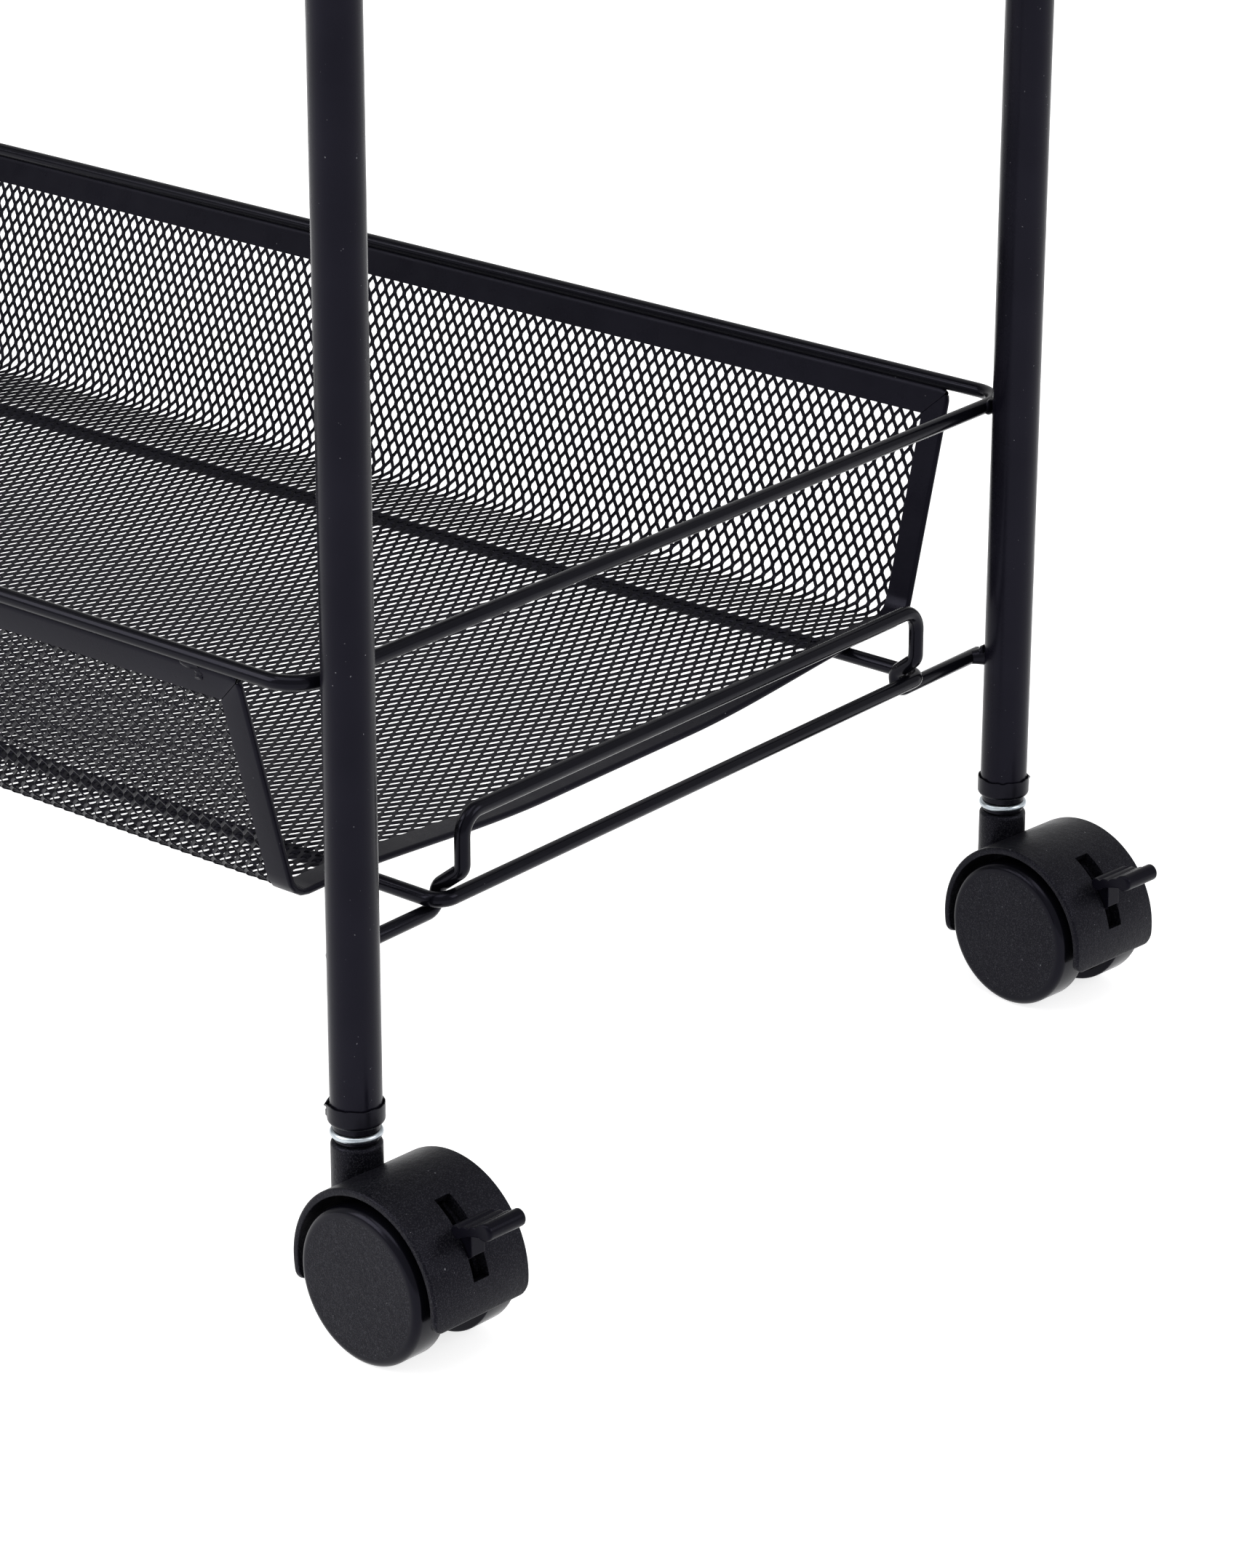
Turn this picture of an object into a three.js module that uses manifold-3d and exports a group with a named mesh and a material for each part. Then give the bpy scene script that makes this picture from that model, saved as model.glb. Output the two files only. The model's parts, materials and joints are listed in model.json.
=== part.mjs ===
// A three-tier wire shelf cart on twin-wheel casters.
//
// Two tube end frames carry three mesh trays. Each tray hangs between the frames on a rim wire and a
// base wire, and a bent hook wire on each end frame holds the base wire. Four swivel casters plug into
// the feet of the tubes, and the two at the brake end have a lever that locks them.
//
// Millimetres, +Z up. X runs along the cart with the brake end at +X, Y runs across it, and the origin is
// on the floor under the middle of the cart. The plain end is the brake end turned half round about Z.

import * as THREE from 'three';
import { mergeVertices } from 'three/addons/utils/BufferGeometryUtils.js';
import Module from 'manifold-3d';

const wasm = await Module();
wasm.setup();

// ---------------------------------------------------------------- driving dimensions

// Clearance kept between two pieces that touch, or are welded together, on the real cart.
const GAP = 0.3;

const FRAME = { length: 554, width: 333, tube: 16, wall: 1.2, foot: 68, top: 865, bend: 60, sides: 12 };

const TIERS = ['lower', 'middle', 'upper'];
const TIER = { firstRim: 205, pitch: 295, rimToBase: 84 };

const WIRE = { diameter: 5, sides: 8 };

// The rim wire runs outside the posts along the cart and inside them across it.
const RIM_WIRE = { outsidePost: 10, bend: 12 };
// The base wire lies under the tray floor and hooks over the hook wires.
const BASE_WIRE = { insidePostCentre: 4.2, halfWidth: 122.8, bend: 6 };

// The hook wire is welded to the inner side of both posts. Its middle rises, steps outward over the base
// wire and runs across as the raised bar that closes the end of the tray.
const HOOK = {
  belowBaseWire: 5.5, footHalfWidth: 117.5, barHalfWidth: 115.2, barInsidePost: 1.8, shortOfPost: 1.5,
  stepStart: 7.2, stepEnd: 14.5, barRise: 32.7, footBend: 5, stepBend: 4, barBend: 7.5,
};

// The tray is folded mesh: a floor and two long walls that lean outward, open at both ends. The floor
// sags between the base rods, and is flat only near its middle.
const TRAY = {
  endInset: 34, sheet: 1.2, strip: 2.4, stripWidth: 9.5,
  rimHalfWidth: 176, floorHalfWidth: 154.3, foldRadius: 8, sag: 5.4, flatHalfWidth: 36,
};

const WHEEL = {
  radius: 25.4, face: 22, treadInner: 9.6, hubInner: 4.3, hub: 7, rimInner: 22.6, wall: 3.5, bore: 3.3,
};
const AXLE = { radius: 3, end: 19.7 };
const CASTER = { trail: 22.5, neck: 8.05, neckTop: 59.5 };
const HOOD = { radius: 30.8, well: 28.4, halfWidth: 19.8, web: 3.5, backAngle: 197.8, frontAngle: -11.5 };
const STEM = {
  radius: 4, bottom: 50, spacer: 6.9, spacerHeight: 1.3, collar: 8.2, collarHeight: 2.4, top: 86,
};
const SOCKET = {
  skirt: 8.85, skirtInner: 8.45, skirtTop: 72.2, flareTop: 1.2, flareBottom: 2.2,
  spigot: 7.3, barrel: 6.2, barrelTop: 90, bore: 4.3,
};
const SLOT = { lowAngle: 11.2, highAngle: 63.5, halfWidth: 3.2 };
// Room left round the stem and the lever inside the hood, and the lever's travel past the slot's ends.
const ROOM = { stem: 0.4, tongue: 0.4, leverRing: 0.6, pastSlotDegrees: 4 };
const LEVER = { armAngle: 28, armHalfWidth: 2.2, tongue: 1.5, neck: 2.8, hub: 6.5, bore: 3.4 };
// The neck stands up through the slot, and its corners are given by distance and angle from the axle.
const NECK = {
  lowAngle: 24.5, highAngle: 36, footDistance: 32.2, footAngle: 25.6,
  outerDistance: 36.7, outerAngle: 38.6, innerDistance: 34.5, innerAngle: 43.6,
};
// The lever's pedal has a thick lobe along each edge, placed in the same way.
const PEDAL = {
  innerDistance: 35.7, innerAngle: 40.7, innerRadius: 2.2,
  outerDistance: 47.5, outerAngle: 34.9, outerRadius: 2.8,
  webHalfThickness: 1.9, halfLength: 8.2,
};

// How far each side's caster has swung from pointing straight out of the end of the cart, in degrees.
const SWUNG = { left: -4, right: -6 };

// ---------------------------------------------------------------- materials

const paint = (color, roughness) => new THREE.MeshStandardMaterial({ color, roughness, metalness: 0.0 });

const MATERIALS = {
  tube: paint(0x1c1c20, 0.42),
  wire: paint(0x17171a, 0.36),
  mesh: paint(0x151518, 0.5),
  strip: paint(0x232329, 0.45),
  plastic: paint(0x1a1b1d, 0.62),
  wheel: paint(0x1d1e20, 0.6),
  lever: paint(0x18181b, 0.4),
  steel: new THREE.MeshStandardMaterial({ color: 0xb9c0c4, roughness: 0.3, metalness: 1.0 }),
};

const cart = new THREE.Group();

function addPiece(name, geometry, material, group = cart) {
  const piece = new THREE.Mesh(geometry, material);
  piece.name = name;
  group.add(piece);
  return piece;
}

// ---------------------------------------------------------------- shared geometry tools

const radians = THREE.MathUtils.degToRad;
const v2 = (x, y) => new THREE.Vector2(x, y);
const v3 = (x, y, z) => new THREE.Vector3(x, y, z);

// A path through fixed stations, so that a sweep has one section at each station and no more.
class StationPath extends THREE.Curve {
  constructor(stations, closed = false) {
    super();
    this.stations = stations;
    this.closed = closed;
    this.spans = closed ? stations.length : stations.length - 1;
  }

  station(index) {
    const count = this.stations.length;
    return this.stations[this.closed ? (index + count) % count : Math.min(Math.max(index, 0), count - 1)];
  }

  getPoint(t) {
    const position = t * this.spans;
    const index = Math.min(Math.floor(position), this.spans - 1);
    return this.station(index).clone().lerp(this.station(index + 1), position - index);
  }

  getPointAt(u) {
    return this.getPoint(u);
  }

  getTangentAt(u) {
    const index = Math.round(u * this.spans);
    const here = this.station(index);
    const before = this.station(index - 1);
    const after = this.station(index + 1);
    const along = here.clone().sub(before).normalize().add(after.clone().sub(here).normalize());
    return along.normalize();
  }
}

// Stations of a bent wire or tube: straight runs between corners, each corner rounded by its own bend.
function bentStations(corners, bends, closed = false, stepsPerQuarter = 3) {
  const count = corners.length;
  const stations = [];
  corners.forEach((corner, i) => {
    if (!closed && (i === 0 || i === count - 1)) {
      stations.push(corner.clone());
      return;
    }
    const inward = corner.clone().sub(corners[(i + count - 1) % count]).normalize();
    const outward = corners[(i + 1) % count].clone().sub(corner).normalize();
    const turn = inward.angleTo(outward);
    const radius = Array.isArray(bends) ? bends[i] : bends;
    const start = corner.clone().addScaledVector(inward, -radius * Math.tan(turn / 2));
    const side = outward.clone().addScaledVector(inward, -Math.cos(turn)).normalize();
    const centre = start.clone().addScaledVector(side, radius);
    const steps = Math.max(1, Math.ceil((turn / (Math.PI / 2)) * stepsPerQuarter - 1e-6));
    for (let k = 0; k <= steps; k += 1) {
      const angle = (turn * k) / steps;
      const station = centre.clone().addScaledVector(side, -radius * Math.cos(angle));
      stations.push(station.addScaledVector(inward, radius * Math.sin(angle)));
    }
  });
  return stations;
}

function roundSection(radius, sides) {
  const points = [];
  for (let i = 0; i < sides; i += 1) {
    const angle = (2 * Math.PI * i) / sides;
    points.push(v2(radius * Math.cos(angle), radius * Math.sin(angle)));
  }
  return new THREE.Shape(points);
}

function sweep(stations, radius, sides) {
  const path = new StationPath(stations);
  return new THREE.ExtrudeGeometry(roundSection(radius, sides), { steps: path.spans, extrudePath: path });
}

// A closed ring has no ends, so its tube needs no caps.
function sweepRing(stations, radius, sides) {
  const path = new StationPath(stations, true);
  return new THREE.TubeGeometry(path, path.spans, radius, sides, true);
}

// Turns a shape drawn in (first, second) axes into a solid of the given depth, centred along the third.
function plate(shape, depth, first, second, third) {
  const geometry = new THREE.ExtrudeGeometry(shape, { depth, bevelEnabled: false, curveSegments: 4 });
  geometry.translate(0, 0, -depth / 2);
  return geometry.applyMatrix4(new THREE.Matrix4().makeBasis(first, second, third));
}

const X_AXIS = v3(1, 0, 0);
const Y_AXIS = v3(0, 1, 0);
const Z_AXIS = v3(0, 0, 1);

// Shapes drawn in (y, z) and extruded along x.
const plateAlongX = (shape, depth) => plate(shape, depth, Y_AXIS, Z_AXIS, X_AXIS);
// Shapes drawn in (z, x) and extruded along y.
const plateAlongY = (shape, depth) => plate(shape, depth, Z_AXIS, X_AXIS, Y_AXIS);

// A turned piece about +Z, from a profile of [radius, height] points.
function turnedAboutZ(profile, segments) {
  const points = profile.map(([radius, height]) => v2(radius, height));
  return new THREE.LatheGeometry(points, segments).rotateX(Math.PI / 2);
}

// A turned piece about +Y, from a profile of [radius, y] points, with a flat facing down.
function turnedAboutY(profile, segments) {
  const points = profile.map(([radius, y]) => v2(radius, y));
  return new THREE.LatheGeometry(points, segments, Math.PI / segments);
}

function toSolid(geometry) {
  const bare = geometry.clone();
  bare.deleteAttribute('normal');
  bare.deleteAttribute('uv');
  const merged = mergeVertices(bare, 1e-4);
  return new wasm.Manifold(new wasm.Mesh({
    numProp: 3,
    vertProperties: new Float32Array(merged.attributes.position.array),
    triVerts: new Uint32Array(merged.index.array),
  }));
}

function toGeometry(solid) {
  const { vertProperties, triVerts } = solid.getMesh();
  const geometry = new THREE.BufferGeometry();
  geometry.setAttribute('position', new THREE.BufferAttribute(new Float32Array(vertProperties), 3));
  geometry.setIndex(new THREE.BufferAttribute(new Uint32Array(triVerts), 1));
  geometry.computeVertexNormals();
  return geometry;
}

// ---------------------------------------------------------------- end frames

const END_X = FRAME.length / 2;
const POST_Y = FRAME.width / 2;
const TUBE_RADIUS = FRAME.tube / 2;
const WIRE_RADIUS = WIRE.diameter / 2;
const weldOffset = TUBE_RADIUS + WIRE_RADIUS + GAP;

// One tube bent into an upside-down U: two posts and the push handle between them.
function endFrame(x) {
  const line = FRAME.top - TUBE_RADIUS;
  const corners = (foot) => [
    v3(x, -POST_Y, foot), v3(x, -POST_Y, line), v3(x, POST_Y, line), v3(x, POST_Y, foot),
  ];
  const bendSteps = 6;
  const pastFoot = 5;
  const along = (foot) => bentStations(corners(foot), FRAME.bend, false, bendSteps);
  const outside = sweep(along(FRAME.foot), TUBE_RADIUS, FRAME.sides);
  const hollow = sweep(along(FRAME.foot - pastFoot), TUBE_RADIUS - FRAME.wall, FRAME.sides);
  return toGeometry(toSolid(outside).subtract(toSolid(hollow)));
}

// ---------------------------------------------------------------- wires of one tier

const rectangle = (x, y, z) => [v3(-x, -y, z), v3(x, -y, z), v3(x, y, z), v3(-x, y, z)];

function rimWire(rimHeight) {
  const x = END_X - weldOffset;
  const y = POST_Y + RIM_WIRE.outsidePost;
  const corners = rectangle(x, y, rimHeight);
  return sweepRing(bentStations(corners, RIM_WIRE.bend, true), WIRE_RADIUS, WIRE.sides);
}

function baseWire(baseHeight) {
  const x = END_X - BASE_WIRE.insidePostCentre;
  const y = BASE_WIRE.halfWidth;
  const corners = rectangle(x, y, baseHeight);
  return sweepRing(bentStations(corners, BASE_WIRE.bend, true), WIRE_RADIUS, WIRE.sides);
}

// The hook wire of the brake end. The points run from one post to the middle, and are then mirrored.
function hookWire(baseHeight) {
  const inner = END_X - weldOffset;
  const outer = END_X - HOOK.barInsidePost;
  const low = baseHeight - HOOK.belowBaseWire;
  const half = [
    [inner, POST_Y - HOOK.shortOfPost, 0, 0],
    [inner, HOOK.footHalfWidth, 0, HOOK.footBend],
    [inner, (HOOK.footHalfWidth + HOOK.barHalfWidth) / 2, HOOK.stepStart, HOOK.stepBend],
    [outer, HOOK.barHalfWidth, HOOK.stepEnd, HOOK.stepBend],
    [outer, HOOK.barHalfWidth, HOOK.barRise, HOOK.barBend],
  ];
  const nearSide = half.map(([x, y, rise]) => v3(x, -y, low + rise));
  const farSide = half.map(([x, y, rise]) => v3(x, y, low + rise)).reverse();
  const bends = half.map(([, , , bend]) => bend);
  const stations = bentStations([...nearSide, ...farSide], [...bends, ...bends.slice().reverse()]);
  return sweep(stations, WIRE_RADIUS, WIRE.sides);
}

// ---------------------------------------------------------------- mesh tray and its binding strips

const TRAY_END_X = END_X - TRAY.endInset;
const TRAY_RIM_DROP = WIRE_RADIUS + GAP;
const TRAY_FLOOR_RISE = WIRE_RADIUS + GAP + TRAY.strip / 2;
const WALL_HEIGHT = TIER.rimToBase - TRAY_RIM_DROP - TRAY_FLOOR_RISE;
const WALL_LEAN = Math.atan((TRAY.rimHalfWidth - TRAY.floorHalfWidth) / WALL_HEIGHT);

// How far the floor hangs below its line over the base rods: nothing outside the rods, flat in the middle.
function floorSag(y) {
  const slope = (Math.abs(y) - TRAY.flatHalfWidth) / (BASE_WIRE.halfWidth - TRAY.flatHalfWidth);
  const fall = Math.min(Math.max(slope, 0), 1);
  return TRAY.sag * (1 - fall) * (1 + fall * (1 - fall));
}

// The folded cross-section of the tray in (y, z), measured from the middle of the sheet over the base rods.
function foldedSection(thickness, trimmedFromRim) {
  const fold = Math.PI / 2 - WALL_LEAN;
  const centreY = TRAY.floorHalfWidth - TRAY.foldRadius * Math.tan(fold / 2);
  const foldSteps = 4;
  const sagSteps = 5;
  const face = (offset) => {
    const points = [];
    for (let k = 0; k <= sagSteps; k += 1) {
      const y = TRAY.flatHalfWidth + ((BASE_WIRE.halfWidth - TRAY.flatHalfWidth) * k) / sagSteps;
      points.push(v2(y, -offset - floorSag(y)));
    }
    for (let k = 0; k <= foldSteps; k += 1) {
      const angle = (fold * k) / foldSteps;
      const radius = TRAY.foldRadius + offset;
      points.push(v2(centreY + radius * Math.sin(angle), TRAY.foldRadius - radius * Math.cos(angle)));
    }
    const topY = TRAY.rimHalfWidth - trimmedFromRim * Math.sin(WALL_LEAN);
    const topZ = WALL_HEIGHT - trimmedFromRim * Math.cos(WALL_LEAN);
    points.push(v2(topY + offset * Math.cos(WALL_LEAN), topZ - offset * Math.sin(WALL_LEAN)));
    return points;
  };
  const mirrored = (points) => points.map((point) => v2(-point.x, point.y)).reverse();
  const under = face(thickness / 2);
  const over = face(-thickness / 2);
  const overBackward = [...mirrored(over), ...over].reverse();
  return new THREE.Shape([...mirrored(under), ...under, ...overBackward]);
}

function meshTray(floorHeight) {
  const section = foldedSection(TRAY.sheet, TRAY.stripWidth + GAP);
  const length = 2 * (TRAY_END_X - TRAY.stripWidth - GAP);
  return plateAlongX(section, length).translate(0, 0, floorHeight);
}

// A plate drawn on the plane of the right wall: x along the cart, then the distance down from the rim.
function plateOnWall(points, depth, floorHeight) {
  const shape = new THREE.Shape(points.map(([x, down]) => v2(x, down)));
  const downWall = v3(0, -Math.sin(WALL_LEAN), -Math.cos(WALL_LEAN));
  const outOfWall = v3(0, Math.cos(WALL_LEAN), -Math.sin(WALL_LEAN));
  const onWall = plate(shape, depth, X_AXIS, downWall, outOfWall);
  return onWall.translate(0, TRAY.rimHalfWidth, floorHeight + WALL_HEIGHT);
}

// The folded strip along the top of a long wall, with mitred ends.
function rimStrip(floorHeight) {
  const outer = TRAY_END_X;
  const inner = TRAY_END_X - TRAY.stripWidth;
  const points = [[-outer, 0], [outer, 0], [inner, TRAY.stripWidth], [-inner, TRAY.stripWidth]];
  return plateOnWall(points, TRAY.strip, floorHeight);
}

// The folded strip down one wall, across the end of the floor and up the other wall.
function endStrip(floorHeight) {
  const middle = TRAY_END_X - TRAY.stripWidth / 2;
  const whole = plateAlongX(foldedSection(TRAY.strip, 0), TRAY.stripWidth).translate(middle, 0, floorHeight);
  const margin = 3;
  const mitreGap = GAP * Math.SQRT2;
  const above = [
    [TRAY_END_X - TRAY.stripWidth - margin, -margin],
    [TRAY_END_X + margin, -margin],
    [TRAY_END_X + margin, mitreGap - margin],
    [TRAY_END_X - TRAY.stripWidth - margin, TRAY.stripWidth + margin + mitreGap],
  ];
  const rightCut = plateOnWall(above, 3 * TRAY.strip, floorHeight);
  // Turned half round, the same cut serves the left wall, from a plate drawn for the other end.
  const leftCut = plateOnWall(above.map(([x, down]) => [-x, down]).reverse(), 3 * TRAY.strip, floorHeight)
    .rotateZ(Math.PI);
  return toGeometry(toSolid(whole).subtract(toSolid(rightCut)).subtract(toSolid(leftCut)));
}

// ---------------------------------------------------------------- caster pieces
// Each is drawn with its stem on the Z axis, the floor at z = 0 and the wheels trailing towards +X.

const onWheelCircle = (radius, degrees) => {
  const angle = radians(degrees);
  return v2(WHEEL.radius + radius * Math.sin(angle), CASTER.trail + radius * Math.cos(angle));
};

// Points of an arc about the wheel axis, as (z, x), with angles measured up from +X.
function wheelArc(radius, fromDegrees, toDegrees, steps) {
  return Array.from({ length: steps + 1 }, (_, k) => (
    onWheelCircle(radius, fromDegrees + ((toDegrees - fromDegrees) * k) / steps)
  ));
}

function sectorPlate(innerRadius, outerRadius, fromDegrees, toDegrees, depth, steps = 6) {
  const outer = wheelArc(outerRadius, fromDegrees, toDegrees, steps);
  const inner = wheelArc(innerRadius, toDegrees, fromDegrees, steps);
  return plateAlongY(new THREE.Shape([...outer, ...inner].reverse()), depth);
}

function aboutWheelAxis(profile, segments) {
  return turnedAboutY(profile, segments).translate(CASTER.trail, 0, WHEEL.radius);
}

const disc = (radius, halfDepth, segments) => aboutWheelAxis(
  [[0, -halfDepth], [radius, -halfDepth], [radius, halfDepth], [0, halfDepth]], segments,
);

const SPACER_BOTTOM = CASTER.neckTop + GAP;
const COLLAR_BOTTOM = SPACER_BOTTOM + STEM.spacerHeight;
const COLLAR_TOP = COLLAR_BOTTOM + STEM.collarHeight;

// The plastic socket: a barrel up inside the tube, a thin skirt round its foot and a short spigot below.
function tubeSocket() {
  const shoulder = FRAME.foot - GAP;
  return turnedAboutZ([
    [SOCKET.bore, COLLAR_TOP + GAP],
    [SOCKET.spigot, COLLAR_TOP + GAP],
    [SOCKET.spigot, shoulder - SOCKET.flareBottom],
    [SOCKET.skirt, shoulder - SOCKET.flareTop],
    [SOCKET.skirt, SOCKET.skirtTop],
    [SOCKET.skirtInner, SOCKET.skirtTop],
    [SOCKET.skirtInner, shoulder],
    [SOCKET.barrel, shoulder],
    [SOCKET.barrel, SOCKET.barrelTop],
    [SOCKET.bore, SOCKET.barrelTop],
    [SOCKET.bore, COLLAR_TOP + GAP],
  ], 16);
}

// The steel stem with its spacer and round collar, which sit between the caster's neck and the socket.
function casterStem() {
  const edge = 0.7;
  return turnedAboutZ([
    [0, STEM.bottom],
    [STEM.radius, STEM.bottom],
    [STEM.radius, SPACER_BOTTOM],
    [STEM.spacer, SPACER_BOTTOM],
    [STEM.spacer, COLLAR_BOTTOM],
    [STEM.collar - edge, COLLAR_BOTTOM],
    [STEM.collar, COLLAR_BOTTOM + edge],
    [STEM.collar, COLLAR_TOP - edge],
    [STEM.collar - edge, COLLAR_TOP],
    [STEM.radius, COLLAR_TOP],
    [STEM.radius, STEM.top],
    [0, STEM.top],
  ], 16);
}

// The hood covers both wheels and carries them on a web between the two wheel wells.
function casterHood(hasBrake) {
  const webBottom = WHEEL.radius + HOOD.radius * Math.sin(radians(HOOD.backAngle));
  const boss = 7;
  const arc = wheelArc(HOOD.radius, HOOD.frontAngle, HOOD.backAngle, 18);
  const underside = [v2(webBottom, CASTER.trail - boss), v2(webBottom, CASTER.trail + boss)];
  const block = plateAlongY(new THREE.Shape([...arc, ...underside].reverse()), 2 * HOOD.halfWidth);
  const neck = turnedAboutZ([
    [0, WHEEL.radius], [CASTER.neck, WHEEL.radius], [CASTER.neck, CASTER.neckTop], [0, CASTER.neckTop],
  ], 16);
  const boreRadius = STEM.radius + ROOM.stem;
  const stemBore = turnedAboutZ([
    [0, STEM.bottom - GAP], [boreRadius, STEM.bottom - GAP], [boreRadius, STEM.top], [0, STEM.top],
  ], 16);
  const wellDepth = HOOD.halfWidth;
  let hood = toSolid(block).add(toSolid(neck));
  for (const side of [-1, 1]) {
    const well = disc(HOOD.well, wellDepth / 2, 36).translate(0, side * (HOOD.web + wellDepth / 2), 0);
    hood = hood.subtract(toSolid(well));
  }
  hood = hood.subtract(toSolid(stemBore)).subtract(toSolid(disc(WHEEL.bore, HOOD.halfWidth, 16)));
  if (hasBrake) {
    const overlap = 2;
    const slotDepth = 2 * SLOT.halfWidth;
    const outside = HOOD.radius + overlap;
    const slot = sectorPlate(HOOD.well - 2 * GAP, outside, SLOT.lowAngle, SLOT.highAngle, slotDepth);
    const tongueDepth = 2 * (LEVER.tongue + ROOM.tongue);
    const lowest = SLOT.lowAngle - ROOM.pastSlotDegrees;
    const highest = SLOT.highAngle + ROOM.pastSlotDegrees;
    const tongueRoom = sectorPlate(overlap, HOOD.well, lowest, highest, tongueDepth);
    const ringRoom = disc(LEVER.hub + ROOM.leverRing, tongueDepth / 2, 16);
    hood = hood.subtract(toSolid(slot)).subtract(toSolid(tongueRoom)).subtract(toSolid(ringRoom));
  }
  return toGeometry(hood);
}

// One wheel, on the +Y side of the web: a cup with a rounded rim, turning on a blind bore in its hub.
function casterWheel() {
  const segments = 24;
  const tread = WHEEL.radius / Math.cos(Math.PI / segments);
  const cupFloor = WHEEL.face - WHEEL.wall;
  const rounding = 2.6;
  const cornerCut = 0.3 * rounding;
  return aboutWheelAxis([
    [0, AXLE.end + GAP],
    [WHEEL.bore, AXLE.end + GAP],
    [WHEEL.bore, WHEEL.hubInner],
    [WHEEL.hub, WHEEL.hubInner],
    [WHEEL.hub, cupFloor],
    [WHEEL.rimInner, cupFloor],
    [WHEEL.rimInner, WHEEL.treadInner],
    [tread, WHEEL.treadInner],
    [tread, WHEEL.face - rounding],
    [tread - cornerCut, WHEEL.face - cornerCut],
    [tread - rounding, WHEEL.face],
    [0, WHEEL.face],
  ], segments);
}

const wheelAxle = () => disc(AXLE.radius, AXLE.end, 12);

// The brake lever turns about the wheel axle: a ring, a thin tongue, a neck through the slot and a pedal.
function brakeLever() {
  const halfAngle = (distance) => THREE.MathUtils.radToDeg(LEVER.armHalfWidth / distance);
  const ring = disc(LEVER.hub, LEVER.tongue, 16);
  const bore = disc(LEVER.bore, HOOD.halfWidth, 16);
  const overlap = 1.5;
  const tongueStart = LEVER.hub - overlap;
  const tongue = plateAlongY(new THREE.Shape([
    onWheelCircle(tongueStart, LEVER.armAngle - halfAngle(tongueStart)),
    onWheelCircle(HOOD.well, LEVER.armAngle - halfAngle(HOOD.well)),
    onWheelCircle(HOOD.well, LEVER.armAngle + halfAngle(HOOD.well)),
    onWheelCircle(tongueStart, LEVER.armAngle + halfAngle(tongueStart)),
  ].reverse()), 2 * LEVER.tongue);
  const neckStart = HOOD.well - GAP;
  const neck = plateAlongY(new THREE.Shape([
    onWheelCircle(neckStart, NECK.lowAngle),
    onWheelCircle(NECK.footDistance, NECK.footAngle),
    onWheelCircle(NECK.outerDistance, NECK.outerAngle),
    onWheelCircle(NECK.innerDistance, NECK.innerAngle),
    onWheelCircle(neckStart, NECK.highAngle),
  ].reverse()), 2 * LEVER.neck);
  const edge = 1;
  const lobe = (radius, at) => turnedAboutY([
    [0, -PEDAL.halfLength],
    [radius - edge, -PEDAL.halfLength],
    [radius, edge - PEDAL.halfLength],
    [radius, PEDAL.halfLength - edge],
    [radius - edge, PEDAL.halfLength],
    [0, PEDAL.halfLength],
  ], 12).translate(at.y, 0, at.x);
  const inner = onWheelCircle(PEDAL.innerDistance, PEDAL.innerAngle);
  const outer = onWheelCircle(PEDAL.outerDistance, PEDAL.outerAngle);
  const along = outer.clone().sub(inner).normalize();
  const across = v2(-along.y, along.x).multiplyScalar(PEDAL.webHalfThickness);
  const web = plateAlongY(new THREE.Shape([
    inner.clone().add(across),
    inner.clone().sub(across),
    outer.clone().sub(across),
    outer.clone().add(across),
  ]), 2 * (PEDAL.halfLength - edge));
  let lever = toSolid(ring).add(toSolid(tongue)).add(toSolid(neck)).add(toSolid(web));
  lever = lever.add(toSolid(lobe(PEDAL.innerRadius, inner))).add(toSolid(lobe(PEDAL.outerRadius, outer)));
  return toGeometry(lever.subtract(toSolid(bore)));
}

// ---------------------------------------------------------------- assembly

const ENDS = { brake: 0, plain: Math.PI };

for (const end of Object.keys(ENDS)) {
  addPiece(`end_frame_${end}`, endFrame(END_X), MATERIALS.tube).rotation.z = ENDS[end];
}

TIERS.forEach((tier, level) => {
  const rimHeight = TIER.firstRim + level * TIER.pitch;
  const baseHeight = rimHeight - TIER.rimToBase;
  const floorHeight = baseHeight + TRAY_FLOOR_RISE;
  addPiece(`rim_wire_${tier}`, rimWire(rimHeight), MATERIALS.wire);
  addPiece(`base_wire_${tier}`, baseWire(baseHeight), MATERIALS.wire);
  addPiece(`mesh_tray_${tier}`, meshTray(floorHeight), MATERIALS.mesh);
  addPiece(`rim_strip_${tier}_right`, rimStrip(floorHeight), MATERIALS.strip);
  addPiece(`rim_strip_${tier}_left`, rimStrip(floorHeight), MATERIALS.strip).rotation.z = Math.PI;
  for (const end of Object.keys(ENDS)) {
    addPiece(`end_strip_${tier}_${end}`, endStrip(floorHeight), MATERIALS.strip).rotation.z = ENDS[end];
    addPiece(`hook_wire_${tier}_${end}`, hookWire(baseHeight), MATERIALS.wire).rotation.z = ENDS[end];
  }
});

// Left is the -Y side. The plain end's left caster stands where the turned brake end's right one lands.
const CORNERS = [
  { name: 'brake_left', x: END_X, y: -POST_Y, swung: SWUNG.left, end: 'brake' },
  { name: 'brake_right', x: END_X, y: POST_Y, swung: SWUNG.right, end: 'brake' },
  { name: 'plain_right', x: -END_X, y: POST_Y, swung: SWUNG.left, end: 'plain' },
  { name: 'plain_left', x: -END_X, y: -POST_Y, swung: SWUNG.right, end: 'plain' },
];

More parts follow.
